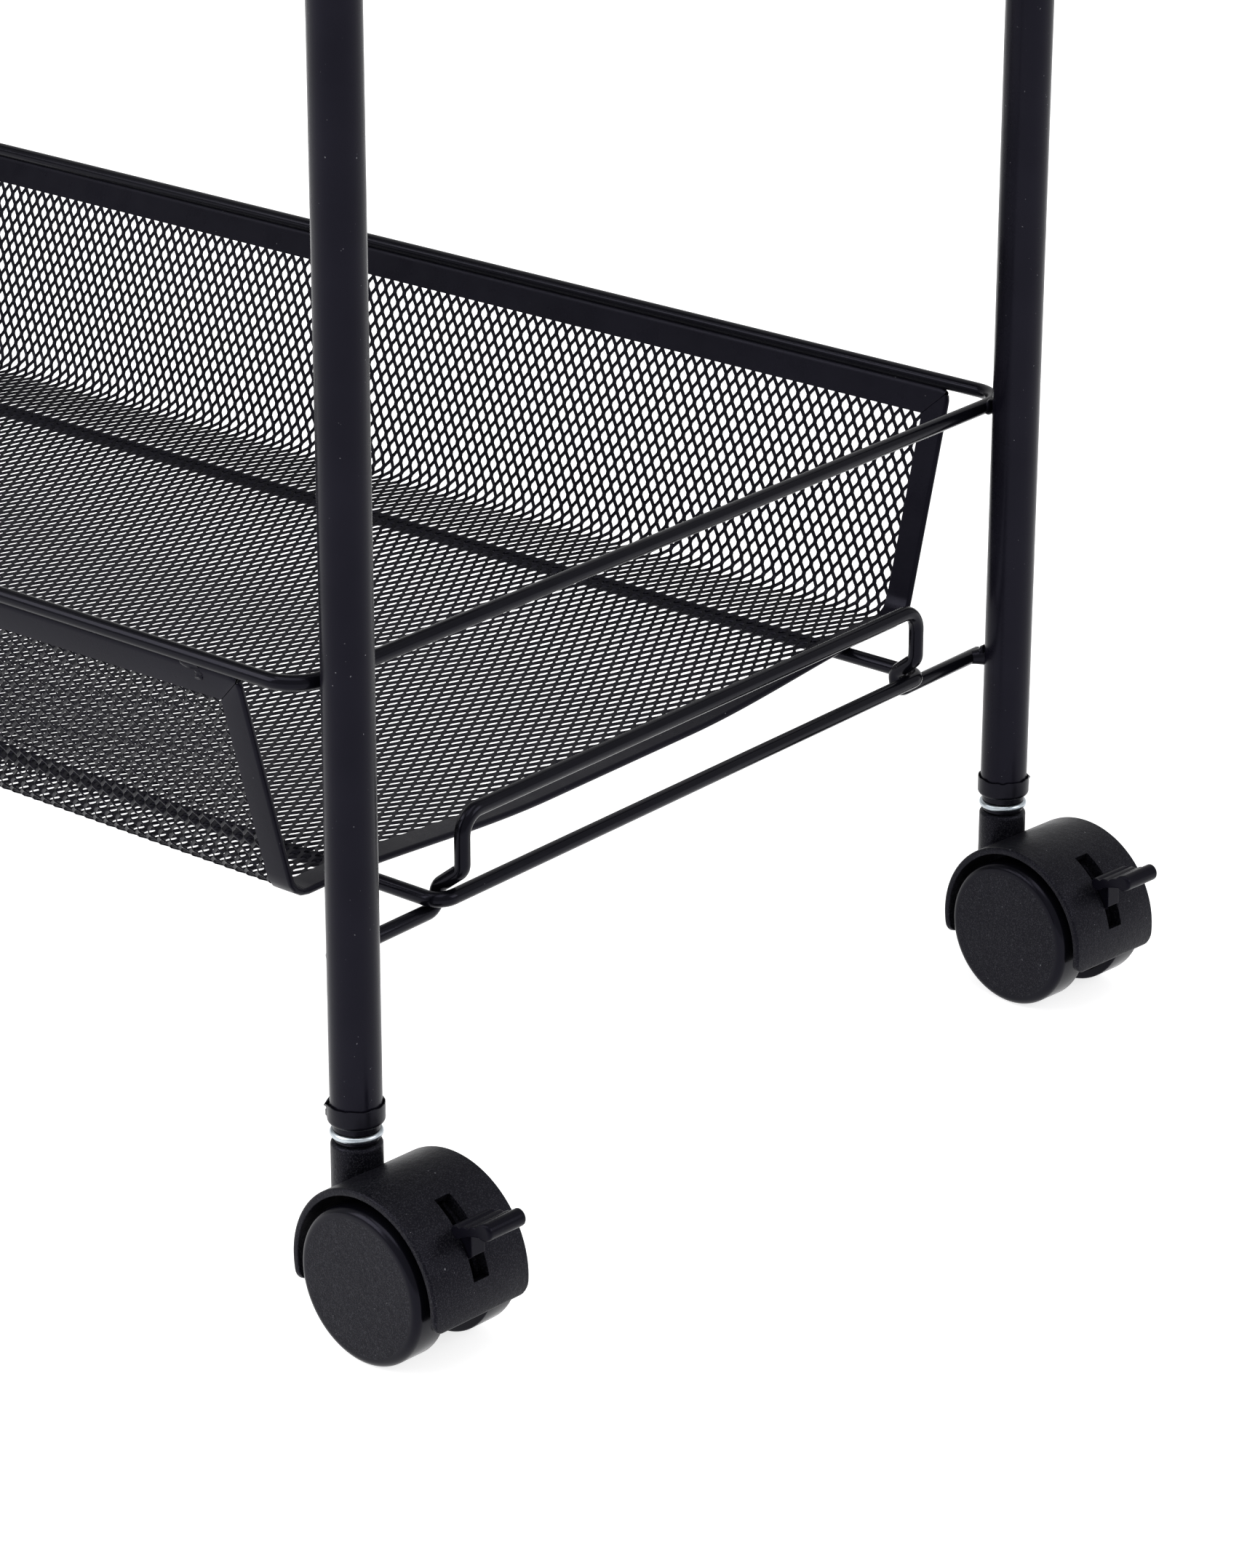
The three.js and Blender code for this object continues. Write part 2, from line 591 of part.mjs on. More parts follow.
for (const corner of CORNERS) {
  const hasBrake = corner.end === 'brake';
  const caster = new THREE.Group();
  caster.position.set(corner.x, corner.y, 0);
  caster.rotation.z = ENDS[corner.end] + radians(corner.swung);
  cart.add(caster);
  addPiece(`tube_socket_${corner.name}`, tubeSocket(), MATERIALS.plastic, caster);
  addPiece(`caster_stem_${corner.name}`, casterStem(), MATERIALS.steel, caster);
  addPiece(`caster_hood_${corner.name}`, casterHood(hasBrake), MATERIALS.plastic, caster);
  addPiece(`wheel_axle_${corner.name}`, wheelAxle(), MATERIALS.steel, caster);
  const mirroredWheel = casterWheel().rotateX(Math.PI).translate(0, 0, 2 * WHEEL.radius);
  addPiece(`wheel_one_${corner.name}`, mirroredWheel, MATERIALS.wheel, caster);
  addPiece(`wheel_two_${corner.name}`, casterWheel(), MATERIALS.wheel, caster);
  if (hasBrake) {
    addPiece(`brake_lever_${corner.name}`, brakeLever(), MATERIALS.lever, caster);
  }
}

cart.updateMatrixWorld(true);

export default cart;
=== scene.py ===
import json
from math import atan, atan2, ceil, cos, pi, radians, sin, sqrt, tan

import bmesh
import bpy
import numpy as np
from mathutils import Matrix, Vector, noise


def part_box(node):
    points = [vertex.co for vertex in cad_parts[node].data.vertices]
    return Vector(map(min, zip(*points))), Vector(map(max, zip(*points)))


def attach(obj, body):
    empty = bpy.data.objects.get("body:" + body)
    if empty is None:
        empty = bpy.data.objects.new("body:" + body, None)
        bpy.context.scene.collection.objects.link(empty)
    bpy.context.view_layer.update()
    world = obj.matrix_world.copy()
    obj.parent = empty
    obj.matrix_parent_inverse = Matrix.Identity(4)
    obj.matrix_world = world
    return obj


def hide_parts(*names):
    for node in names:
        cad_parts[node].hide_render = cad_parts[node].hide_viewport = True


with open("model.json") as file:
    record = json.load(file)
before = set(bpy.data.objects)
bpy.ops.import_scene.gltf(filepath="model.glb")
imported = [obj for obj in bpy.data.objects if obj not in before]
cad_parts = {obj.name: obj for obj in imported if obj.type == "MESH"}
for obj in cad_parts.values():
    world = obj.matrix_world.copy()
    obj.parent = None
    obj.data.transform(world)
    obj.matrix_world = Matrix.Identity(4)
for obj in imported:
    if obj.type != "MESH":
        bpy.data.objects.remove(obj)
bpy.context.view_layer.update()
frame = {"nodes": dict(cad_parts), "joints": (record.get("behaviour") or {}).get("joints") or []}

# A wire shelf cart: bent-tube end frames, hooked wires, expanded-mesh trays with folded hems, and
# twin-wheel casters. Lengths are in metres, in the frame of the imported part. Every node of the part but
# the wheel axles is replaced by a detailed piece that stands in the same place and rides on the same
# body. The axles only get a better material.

# ---------------------------------------------------------------- driving dimensions

MM = 0.001

TIERS = ("lower", "middle", "upper")
END_SIGN = {"brake": 1, "plain": -1}


def middle_of(node):
    low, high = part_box(node)
    return (low + high) / 2


frame_low, frame_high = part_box("end_frame_brake")
END_X = middle_of("end_frame_brake").x
TUBE_RADIUS = (frame_high.x - frame_low.x) / 2
TUBE_WALL = 1.2 * MM
POST_Y = frame_high.y - TUBE_RADIUS
HANDLE_BEND = 60 * MM

rim_low, rim_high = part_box("rim_wire_lower")
WIRE_RADIUS = (rim_high.z - rim_low.z) / 2
GAP = 0.3 * MM
WELD_LINE = END_X - TUBE_RADIUS - WIRE_RADIUS - GAP
RIM_BEND = 12 * MM
BASE_BEND = 6 * MM

# The hook wire, as heights above its lowest run and half widths across the cart.
HOOK_FOOT_HALF = 117.5 * MM
HOOK_BAR_HALF = 115.2 * MM
HOOK_BAR_INSIDE_POST = 1.8 * MM
HOOK_STEP_START = 7.2 * MM
HOOK_STEP_END = 14.5 * MM
HOOK_SHORT_OF_POST = 1.5 * MM
HOOK_FOOT_BEND, HOOK_STEP_BEND, HOOK_BAR_BEND = 5 * MM, 4 * MM, 7.5 * MM

# The tray: a floor that sags between the base rods, two leaning walls, and a folded hem all round.
strip_low, strip_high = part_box("end_strip_lower_brake")
TRAY_END_X = strip_high.x
HEM_WIDTH = strip_high.x - strip_low.x
HEM_THICKNESS = 2.4 * MM
HEM_LEAF = 0.5 * MM
HEM_CORNER = 4 * MM
RIM_CONTACT = 0.9 * MM
HEM_RIPPLE, HEM_RIPPLE_LENGTH = 0.12 * MM, 41 * MM
ROD_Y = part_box("base_wire_lower")[1].y - WIRE_RADIUS
RIM_HALF_WIDTH = 176 * MM
FLOOR_HALF_WIDTH = 154.3 * MM
FOLD_RADIUS = 8 * MM
SAG = 5.4 * MM
FLAT_HALF_WIDTH = 36 * MM
FLOOR_RISE = WIRE_RADIUS + GAP + HEM_THICKNESS / 2
RIM_DROP = WIRE_RADIUS + GAP

# Expanded mesh: pitches along the cart and round the section, and the bond where four strands meet.
MESH_PITCH_X = 4.62 * MM
MESH_PITCH_S = 8.13 * MM
MESH_THICKNESS = 0.44 * MM
BOND_HALF_WIDTH = 0.51 * MM
BOND_SIDE = 0.53 * MM
BOND_POINT = 1.50 * MM
STRAND_TILT = 0.70
MESH_WAVE = 0.3 * MM
WAVE_LENGTH_X, WAVE_LENGTH_S = 31 * MM, 23 * MM

# Welds, as half sizes along X, Y and Z: the beads where the rim wire and the hook wire meet a post, and
# the two drips of each spot that holds a rim hem. The flare runs along the hook wire into the post.
RIM_BEAD = (1.8 * MM, 3.4 * MM, 2.7 * MM)
HOOK_BEAD = (2.0 * MM, 3.0 * MM, 3.6 * MM)
FLARE_START, FLARE_END = 8 * MM, 0.5 * MM
FLARE_THIN, FLARE_THICK = 0.9 * WIRE_RADIUS, 4.4 * MM
HEM_SPOTS = 6
HEM_SPOT_REACH = 0.928 * TRAY_END_X
UPPER_DRIP = (4.2 * MM, 0.95 * MM, 1.3 * MM)
LOWER_DRIP = (2.6 * MM, 0.9 * MM, 2.0 * MM)

# The caster, drawn with its stem on the Z axis, the floor at z = 0 and the wheels trailing towards +X.
WHEEL_RADIUS, WHEEL_FACE, TREAD_INNER = 25.4 * MM, 22 * MM, 9.6 * MM
WHEEL_HUB, WHEEL_HUB_INNER, WHEEL_RIM_INNER, WHEEL_WALL = 7 * MM, 4.3 * MM, 22.6 * MM, 3.5 * MM
WHEEL_ROUNDING = 2.6 * MM
BORE, AXLE_END = 3.3 * MM, 20 * MM
TRAIL = 22.5 * MM
NECK_RADIUS, NECK_TOP, NECK_SHOULDER = 8.05 * MM, 59.5 * MM, 1.3 * MM
HOOD_RADIUS, HOOD_WELL, HOOD_HALF_WIDTH, HOOD_WEB = 30.8 * MM, 28.4 * MM, 19.8 * MM, 3.5 * MM
HOOD_FRONT, HOOD_BACK = -11.5, 197.8
HOOD_CORNER, HOOD_EDGE, HOOD_INNER_EDGE = 4 * MM, 0.9 * MM, 0.4 * MM
HOOD_BOSS = 7 * MM
SLOT_LOW, SLOT_HIGH, SLOT_HALF_WIDTH = 11.2, 63.5, 3.2 * MM
STEM_RADIUS, STEM_BOTTOM, STEM_TOP = 4 * MM, 50 * MM, 86 * MM
COLLAR_RADIUS, COLLAR_BOTTOM, COLLAR_TOP = 8.2 * MM, 61.1 * MM, 63.5 * MM
WASHER_RADIUS = 6.9 * MM
SKIRT_RADIUS, SKIRT_INNER, SKIRT_TOP = 8.85 * MM, 8.35 * MM, 72.2 * MM
SPIGOT_RADIUS, BARREL_RADIUS, BARREL_TOP = 7.3 * MM, 6.2 * MM, 90 * MM
TUBE_FOOT = frame_low.z

# The ragged edge of the socket's skirt, its torn tab, and the ear below the tab, down from the skirt's top.
RAGGED_BAND, RAGGED_HEIGHT, RAGGED_WAVES = 2 * MM, 0.55 * MM, 3.2
TEAR_HALF_ANGLE, TEAR_OUT, TEAR_DOWN = radians(18), 0.13, 1.6 * MM
EAR_HALF_ANGLE, EAR_REACH = radians(8), 0.6 * MM
EAR_LOW, EAR_HIGH, EAR_EASE = 5.0 * MM, 2.4 * MM, 0.5 * MM
# The angle of the torn tab at each corner, in degrees. The first one points to the left of the view.
TEARS = {"brake_left": 223, "brake_right": 60, "plain_right": 130, "plain_left": 300}

# The brake lever. Points are pairs of distance from the wheel axle and angle about it in degrees.
LEVER_ARM_ANGLE, LEVER_RING, LEVER_TONGUE, LEVER_NECK = 28, 6.5 * MM, 1.5 * MM, 2.8 * MM
TONGUE_ROOT_SPREAD, TONGUE_TIP_SPREAD = 22, 4.4
NECK_FRONT = ((HOOD_WELL - GAP, LEVER_ARM_ANGLE - 3.5), (32.2 * MM, LEVER_ARM_ANGLE - 2.4), (36.7 * MM, 38.6))
NECK_BACK = ((34.5 * MM, 43.6), (HOOD_WELL - GAP, LEVER_ARM_ANGLE + 8))
PEDAL_INNER = (35.7 * MM, 40.7)
PEDAL_OUTER = (47.5 * MM, 34.9)
PEDAL_INNER_RADIUS, PEDAL_OUTER_RADIUS, PEDAL_WEB, PEDAL_HALF = 2.2 * MM, 2.8 * MM, 1.9 * MM, 7.8 * MM
PEDAL_RIBS, PEDAL_RIB_HEIGHT, PEDAL_HOLLOW = 2, 0.75 * MM, 0.5 * MM
PEDAL_END_ROUNDING, PEDAL_END_SHRINK = 1.1 * MM, 0.13

# ---------------------------------------------------------------- materials

# Noise scales are in waves a metre. A range is where its noise starts to show and where it shows fully.
PATCH_SCALE, SMEAR_SCALE, PAINTED_GLINT_SCALE, DUST_SCALE = 28.0, 75.0, 2400.0, 900.0
PAINTED_GLINT_RANGE, DUST_RANGE = (0.50, 0.66), (0.86, 0.90)
# The speckle colour is a painted glint: light specks where the moulded grain would catch the light.
PAINTED_GLINT_COLOUR, DUST_COLOUR = (0.020, 0.020, 0.024), (0.11, 0.11, 0.12)
GLOSSIER, DULLER = 0.05, 0.07
WAVE_SCALE_SHARE, WAVE_DEPTH_SHARE = 0.18, 1.5
COAT_TINT = (0.77, 0.75, 1.0, 1.0)


def new_material(name):
    material = bpy.data.materials.new(name)
    material.use_nodes = True
    tree = material.node_tree
    return material, tree, tree.nodes["Principled BSDF"]


def noise_node(tree, coordinates, scale, detail=3.0):
    node = tree.nodes.new("ShaderNodeTexNoise")
    node.inputs["Scale"].default_value = scale
    node.inputs["Detail"].default_value = detail
    node.inputs["Roughness"].default_value = 0.55
    tree.links.new(coordinates, node.inputs["Vector"])
    return node.outputs["Fac"]


def ranged(tree, value, low, high, from_low=0.3, from_high=0.7):
    node = tree.nodes.new("ShaderNodeMapRange")
    node.inputs["From Min"].default_value = from_low
    node.inputs["From Max"].default_value = from_high
    node.inputs["To Min"].default_value = low
    node.inputs["To Max"].default_value = high
    tree.links.new(value, node.inputs["Value"])
    return node.outputs["Result"]


def mixed(tree, factor, first, second):
    node = tree.nodes.new("ShaderNodeMix")
    node.data_type = "RGBA"
    tree.links.new(factor, node.inputs[0])
    for socket, colour in ((node.inputs[6], first), (node.inputs[7], second)):
        if isinstance(colour, tuple):
            socket.default_value = (*colour, 1.0)
        else:
            tree.links.new(colour, socket)
    return node.outputs[2]


def bumped(tree, height, depth, previous=None):
    node = tree.nodes.new("ShaderNodeBump")
    node.inputs["Strength"].default_value = 1.0
    node.inputs["Distance"].default_value = depth
    tree.links.new(height, node.inputs["Height"])
    if previous is not None:
        tree.links.new(previous, node.inputs["Normal"])
    return node.outputs["Normal"]


def coated(name, dark, light, roughness, grain, depth, specular, dust=0.0, painted_glint=0.0):
    """A black finish: two close tones in soft patches, uneven gloss, a fine grain, light specks painted into
    the colour as glints of the moulded grain, and dust.
    """
    material, tree, shader = new_material(name)
    place = tree.nodes.new("ShaderNodeTexCoord").outputs["Object"]
    patches = noise_node(tree, place, PATCH_SCALE)
    colour = mixed(tree, ranged(tree, patches, 0.0, 1.0), dark, light)
    # Light specks mixed into the colour: painted glints of the moulded grain, not a colour of the plastic.
    if painted_glint > 0.0:
        painted_glints = ranged(tree, noise_node(tree, place, PAINTED_GLINT_SCALE, 2.0), 0.0, painted_glint, *PAINTED_GLINT_RANGE)
        colour = mixed(tree, painted_glints, colour, PAINTED_GLINT_COLOUR)
    if dust > 0.0:
        faint, full = (limit - dust for limit in DUST_RANGE)
        specks = ranged(tree, noise_node(tree, place, DUST_SCALE, 1.0), 0.0, 1.0, faint, full)
        colour = mixed(tree, specks, colour, DUST_COLOUR)
    tree.links.new(colour, shader.inputs["Base Color"])
    smears = noise_node(tree, place, SMEAR_SCALE, 4.0)
    gloss = ranged(tree, smears, roughness - GLOSSIER, roughness + DULLER)
    tree.links.new(gloss, shader.inputs["Roughness"])
    waves = bumped(tree, noise_node(tree, place, grain * WAVE_SCALE_SHARE, 2.0), depth * WAVE_DEPTH_SHARE)
    tree.links.new(bumped(tree, noise_node(tree, place, grain, 2.0), depth, waves), shader.inputs["Normal"])
    shader.inputs["Specular IOR Level"].default_value = specular
    shader.inputs["Specular Tint"].default_value = COAT_TINT
    return material


def zinc_plate(name):
    """Bright zinc: pale bluish metal with fine turning marks round the Z axis and cloudy patches."""
    material, tree, shader = new_material(name)
    place = tree.nodes.new("ShaderNodeTexCoord").outputs["Object"]
    clouds = noise_node(tree, place, 260.0)
    colour = mixed(tree, ranged(tree, clouds, 0.0, 1.0), (0.40, 0.45, 0.49), (0.50, 0.54, 0.57))
    tree.links.new(colour, shader.inputs["Base Color"])
    tree.links.new(ranged(tree, clouds, 0.27, 0.36), shader.inputs["Roughness"])
    squeeze = tree.nodes.new("ShaderNodeMapping")
    squeeze.inputs["Scale"].default_value = (0.05, 0.05, 1.0)
    tree.links.new(place, squeeze.inputs["Vector"])
    marks = noise_node(tree, squeeze.outputs["Vector"], 4200.0, 2.0)
    tree.links.new(bumped(tree, marks, 0.002 * MM), shader.inputs["Normal"])
    shader.inputs["Metallic"].default_value = 1.0
    return material


def pale_floor(name):
    """A nearly white floor that glows a little, so that it stays as pale as the world behind it."""
    material, tree, shader = new_material(name)
    place = tree.nodes.new("ShaderNodeTexCoord").outputs["Object"]
    clouds = noise_node(tree, place, 1.4)
    colour = mixed(tree, ranged(tree, clouds, 0.0, 1.0), (0.58, 0.58, 0.585), (0.61, 0.61, 0.61))
    tree.links.new(colour, shader.inputs["Base Color"])
    shader.inputs["Roughness"].default_value = 0.85
    shader.inputs["Specular IOR Level"].default_value = 0.1
    shader.inputs["Emission Color"].default_value = (1.0, 1.0, 1.0, 1.0)
    shader.inputs["Emission Strength"].default_value = 0.75
    return material


TUBE_COAT = coated(
    "powder_coat_tube", (0.0022, 0.0020, 0.0040), (0.0042, 0.0039, 0.0068),
    roughness=0.25, grain=1500, depth=0.012 * MM, specular=0.105, dust=0.08,
)
WIRE_COAT = coated(
    "powder_coat_wire", (0.0012, 0.0012, 0.0020), (0.0024, 0.0024, 0.0036),
    roughness=0.17, grain=1700, depth=0.01 * MM, specular=0.11, dust=0.04,
)
MESH_COAT = coated(
    "powder_coat_mesh", (0.0016, 0.0016, 0.0026), (0.0034, 0.0033, 0.0050),
    roughness=0.26, grain=2200, depth=0.008 * MM, specular=0.13,
)
HEM_COAT = coated(
    "powder_coat_hem", (0.0024, 0.0022, 0.0042), (0.0042, 0.0039, 0.0068),
    roughness=0.28, grain=1400, depth=0.012 * MM, specular=0.085, dust=0.05,
)
WELD_COAT = coated(
    "powder_coat_weld", (0.0014, 0.0014, 0.0022), (0.0028, 0.0028, 0.0040),
    roughness=0.22, grain=700, depth=0.06 * MM, specular=0.12,
)
HOOD_PLASTIC = coated(
    "moulded_hood", (0.0013, 0.0013, 0.0023), (0.0027, 0.0027, 0.0041),
    roughness=0.34, grain=2600, depth=0.08 * MM, specular=0.09, dust=0.08, painted_glint=0.8,
)
FACE_PLASTIC = coated(
    "moulded_wheel_face", (0.0022, 0.0022, 0.0036), (0.0040, 0.0040, 0.0058),
    roughness=0.36, grain=3000, depth=0.09 * MM, specular=0.08, dust=0.09, painted_glint=1.0,
)
RIM_PLASTIC = coated(
    "smooth_wheel_rim", (0.0014, 0.0014, 0.0024), (0.0027, 0.0027, 0.0041),
    roughness=0.20, grain=900, depth=0.012 * MM, specular=0.12,
)
LEVER_PLASTIC = coated(
    "smooth_lever", (0.0015, 0.0014, 0.0028), (0.0031, 0.0029, 0.0050),
    roughness=0.28, grain=650, depth=0.02 * MM, specular=0.075, dust=0.05,
)
SOCKET_PLASTIC = coated(
    "socket_plastic", (0.0016, 0.0016, 0.0026), (0.0031, 0.0031, 0.0046),
    roughness=0.28, grain=1100, depth=0.03 * MM, specular=0.13,
)
ZINC = zinc_plate("zinc_plate")
FLOOR = pale_floor("pale_floor")

# ---------------------------------------------------------------- building tools

SHARP_ANGLE = radians(32)
WELD_DISTANCE = 0.001 * MM
WIRE_SIDES, TUBE_SIDES = 24, 56


def mesh_from(name, points, faces, weld=0.0):
    """A mesh with its faces turned outward; points closer than the weld distance are joined."""
    mesh = bpy.data.meshes.new(name)
    mesh.from_pydata([tuple(p) for p in points], [], [tuple(f) for f in faces])
    work = bmesh.new()
    work.from_mesh(mesh)
    if weld > 0.0:
        bmesh.ops.remove_doubles(work, verts=work.verts, dist=weld)
        bmesh.ops.dissolve_degenerate(work, edges=work.edges, dist=weld)
    bmesh.ops.recalc_face_normals(work, faces=work.faces)
    work.to_mesh(mesh)
    work.free()
    return mesh


def add_object(name, mesh):
    obj = bpy.data.objects.new(name, mesh)
    bpy.context.scene.collection.objects.link(obj)
    return obj


def dress(obj, material, body, slot, *nodes):
    """Gives a piece its shading, finish and body, and hides the nodes of the part that it stands for."""
    if not obj.data.materials:
        obj.data.materials.append(material)
    obj.data.polygons.foreach_set("use_smooth", [True] * len(obj.data.polygons))
    obj.data.set_sharp_from_angle(angle=SHARP_ANGLE)
    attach(obj, body)
    if nodes:
        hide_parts(*nodes)


def skin(rings, closed=False):
    """Points and faces over rings of points. A skin that isn't closed is capped at both ends."""
    sides = len(rings[0])
    points = [p for ring in rings for p in ring]
    faces = []
    for i in range(len(rings) if closed else len(rings) - 1):
        here, there = i * sides, ((i + 1) % len(rings)) * sides
        for k in range(sides):
            after = (k + 1) % sides
            faces.append((here + k, here + after, there + after, there + k))
    if not closed:
        last = (len(rings) - 1) * sides
        faces.append(tuple(range(sides)))
        faces.append(tuple(last + k for k in range(sides)))
    return points, faces


def arc(centre, radius, start, end, steps):
    """Points of an arc in a plane, with its angles in degrees."""
    angles = [radians(start + (end - start) * k / steps) for k in range(steps + 1)]
    return [(centre[0] + radius * cos(a), centre[1] + radius * sin(a)) for a in angles]


def bent_path(corners, bends, closed=False, step=radians(9)):
    """Straight runs between corners, each corner rounded by its own bend."""
    count = len(corners)
    path = []
    for i, corner in enumerate(corners):
        if not closed and i in (0, count - 1):
            path.append(corner.copy())
            continue
        inward = (corner - corners[i - 1]).normalized()
        outward = (corners[(i + 1) % count] - corner).normalized()
        turn = inward.angle(outward)
        radius = bends[i] if isinstance(bends, (list, tuple)) else bends
        start = corner - inward * radius * tan(turn / 2)
        side = (outward - inward * cos(turn)).normalized()
        centre = start + side * radius
        steps = max(2, ceil(turn / step))
        for k in range(steps + 1):
            a = turn * k / steps
            path.append(centre - side * radius * cos(a) + inward * radius * sin(a))
    return path


def round_rings(path, radii, sides, closed=False):
    """Circles square to a path, turned along with it so that the skin doesn't twist."""
    rings = []
    normal = None
    for i, point in enumerate(path):
        before = path[i - 1] if closed or i > 0 else point
        after = path[(i + 1) % len(path)] if closed or i < len(path) - 1 else point
        along = (after - before).normalized()
        if normal is None:
            normal = along.orthogonal().normalized()
        normal = (normal - along * normal.dot(along)).normalized()
        other = along.cross(normal)
        turns = [2 * pi * k / sides for k in range(sides)]
        rings.append([point + (normal * cos(t) + other * sin(t)) * radii[i] for t in turns])
    return rings


def wire_skin(path, closed=False):
    """A round wire; the ends of an open one are domed."""
    if closed:
        return skin(round_rings(path, [WIRE_RADIUS] * len(path), WIRE_SIDES, True), True)
    steps = 5
    height = 0.6 * WIRE_RADIUS
    start = (path[1] - path[0]).normalized()
    end = (path[-1] - path[-2]).normalized()
    inset = [height * (1 - sin(pi / 2 * k / steps)) for k in range(1, steps + 1)]
    taper = [WIRE_RADIUS * cos(pi / 2 * k / steps) for k in range(steps)]
    opening = [path[0] + start * distance for distance in inset[::-1]]
    closing = [path[-1] - end * distance for distance in inset]
    line = [*opening, *path[1:-1], *closing]
    radii = [*taper[::-1], *[WIRE_RADIUS] * (len(path) - 2), *taper]
    return skin(round_rings(line, radii, WIRE_SIDES))


def turned(profile, segments, axis="Z"):
    """A ring turned about the stem (Z) or the wheel axle (Y) from a closed profile of (radius, height)."""
    rings = []
    for k in range(segments):
        a = 2 * pi * k / segments
        if axis == "Z":
            rings.append([Vector((r * cos(a), r * sin(a), h)) for r, h in profile])
        else:
            rings.append([Vector((TRAIL + r * cos(a), h, WHEEL_RADIUS + r * sin(a))) for r, h in profile])
    return skin(rings, True)


def turned_solid(profile, segments, axis="Z"):
    """A solid whose profile starts and ends on its axis, so the faces along the axis are dropped."""
    points, faces = turned(profile, segments, axis)
    sides = len(profile)
    return points, [f for f in faces if not (f[0] % sides == sides - 1 and f[1] % sides == 0)]


def tool(name, points, faces):
    """A solid to be combined with others."""
    return add_object(name, mesh_from(name, points, faces, WELD_DISTANCE))


def bake_modifiers(obj):
    """Puts the result of an object's modifiers into its mesh."""
    shown = obj.evaluated_get(bpy.context.evaluated_depsgraph_get())
    mesh = bpy.data.meshes.new_from_object(shown)
    obj.modifiers.clear()
    obj.data = mesh


def combine(obj, other, operation):
    """Joins a second solid to an object or cuts it away, and removes that solid."""
    change = obj.modifiers.new("combine", "BOOLEAN")
    change.operation = operation
    change.solver = "EXACT"
    change.object = other
    bake_modifiers(obj)
    bpy.data.objects.remove(other)


def bore_out(obj, radius, low, high, segments, axis="Z"):
    """Cuts a round hole about the stem (Z) or the wheel axle (Y)."""
    profile = [(0, low), (radius, low), (radius, high), (0, high)]
    combine(obj, tool("bore", *turned_solid(profile, segments, axis)), "DIFFERENCE")


def blob(centre, size, seed, roughness=0.16):
    """A lumpy bead of weld as (points, faces), with its half sizes along X, Y and Z."""
    work = bmesh.new()
    bmesh.ops.create_icosphere(work, subdivisions=3, radius=1.0)
    points = []
    for vertex in work.verts:
        lump = 1 + roughness * noise.noise(vertex.co * 1.7 + Vector((seed * 3.1, seed * 1.7, seed)))
        from_centre = Vector([along * half for along, half in zip(vertex.co, size)])
        points.append(centre + from_centre * lump)
    faces = [[v.index for v in face.verts] for face in work.faces]
    work.free()
    return points, faces


def joined(parts):
    """Several (points, faces) as one."""
    points, faces = [], []
    for more_points, more_faces in parts:
        start = len(points)
        points.extend(more_points)
        faces.extend([tuple(start + k for k in face) for face in more_faces])
    return points, faces


# ---------------------------------------------------------------- end frames and wires


def end_frame(end):
    """Two posts and the push handle between them, as one hollow tube."""
    x = END_SIGN[end] * END_X
    handle = frame_high.z - TUBE_RADIUS
    places = ((-POST_Y, TUBE_FOOT), (-POST_Y, handle), (POST_Y, handle), (POST_Y, TUBE_FOOT))
    path = bent_path([Vector((x, y, z)) for y, z in places], HANDLE_BEND, step=radians(4))
    outer = round_rings(path, [TUBE_RADIUS] * len(path), TUBE_SIDES)
    inner = round_rings(path, [TUBE_RADIUS - TUBE_WALL] * len(path), TUBE_SIDES)
    points, faces = skin([*outer, *inner[::-1]], True)
    obj = add_object(f"tube_frame_{end}", mesh_from("tube_frame", points, faces))
    dress(obj, TUBE_COAT, "cart", "tube", f"end_frame_{end}")


def ring_wire(name, node, bend):
    """A closed rectangle of wire on the middle line of its node."""
    low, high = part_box(node)
    x, y, z = high.x - WIRE_RADIUS, high.y - WIRE_RADIUS, (low.z + high.z) / 2
    corners = [Vector((-x, -y, z)), Vector((x, -y, z)), Vector((x, y, z)), Vector((-x, y, z))]
    points, faces = wire_skin(bent_path(corners, bend, True), True)
    dress(add_object(name, mesh_from(name, points, faces)), WIRE_COAT, "cart", "wire", node)


def hook_wire(tier, end):
    """A wire from post to post that drops to a low run and rises to the bar that closes the tray's end."""
    node = f"hook_wire_{tier}_{end}"
    low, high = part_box(node)
    bottom, rise = low.z + WIRE_RADIUS, high.z - low.z - 2 * WIRE_RADIUS
    outer = END_X - HOOK_BAR_INSIDE_POST
    half = [
        (WELD_LINE, POST_Y - HOOK_SHORT_OF_POST, 0, 0),
        (WELD_LINE, HOOK_FOOT_HALF, 0, HOOK_FOOT_BEND),
        (WELD_LINE, (HOOK_FOOT_HALF + HOOK_BAR_HALF) / 2, HOOK_STEP_START, HOOK_STEP_BEND),
        (outer, HOOK_BAR_HALF, HOOK_STEP_END, HOOK_STEP_BEND),
        (outer, HOOK_BAR_HALF, rise, HOOK_BAR_BEND),
    ]
    sign = END_SIGN[end]
    near = [Vector((sign * x, -y, bottom + up)) for x, y, up, _ in half]
    far = [Vector((sign * x, y, bottom + up)) for x, y, up, _ in half[::-1]]
    bends = [bend for *_, bend in half]
    points, faces = wire_skin(bent_path(near + far, bends + bends[::-1]))
    obj = add_object(f"hook_{tier}_{end}", mesh_from(node, points, faces))
    dress(obj, WIRE_COAT, "cart", "wire", node)


def weld_flare(start, end, thin, thick):
    """A bead that swells along a wire towards the post that it is welded to."""
    steps = 10
    path = [start.lerp(end, k / steps) for k in range(steps + 1)]
    sizes = [thin + (thick - thin) * (k / steps) ** 1.5 for k in range(steps + 1)]
    return skin(round_rings(path, sizes, WIRE_SIDES))


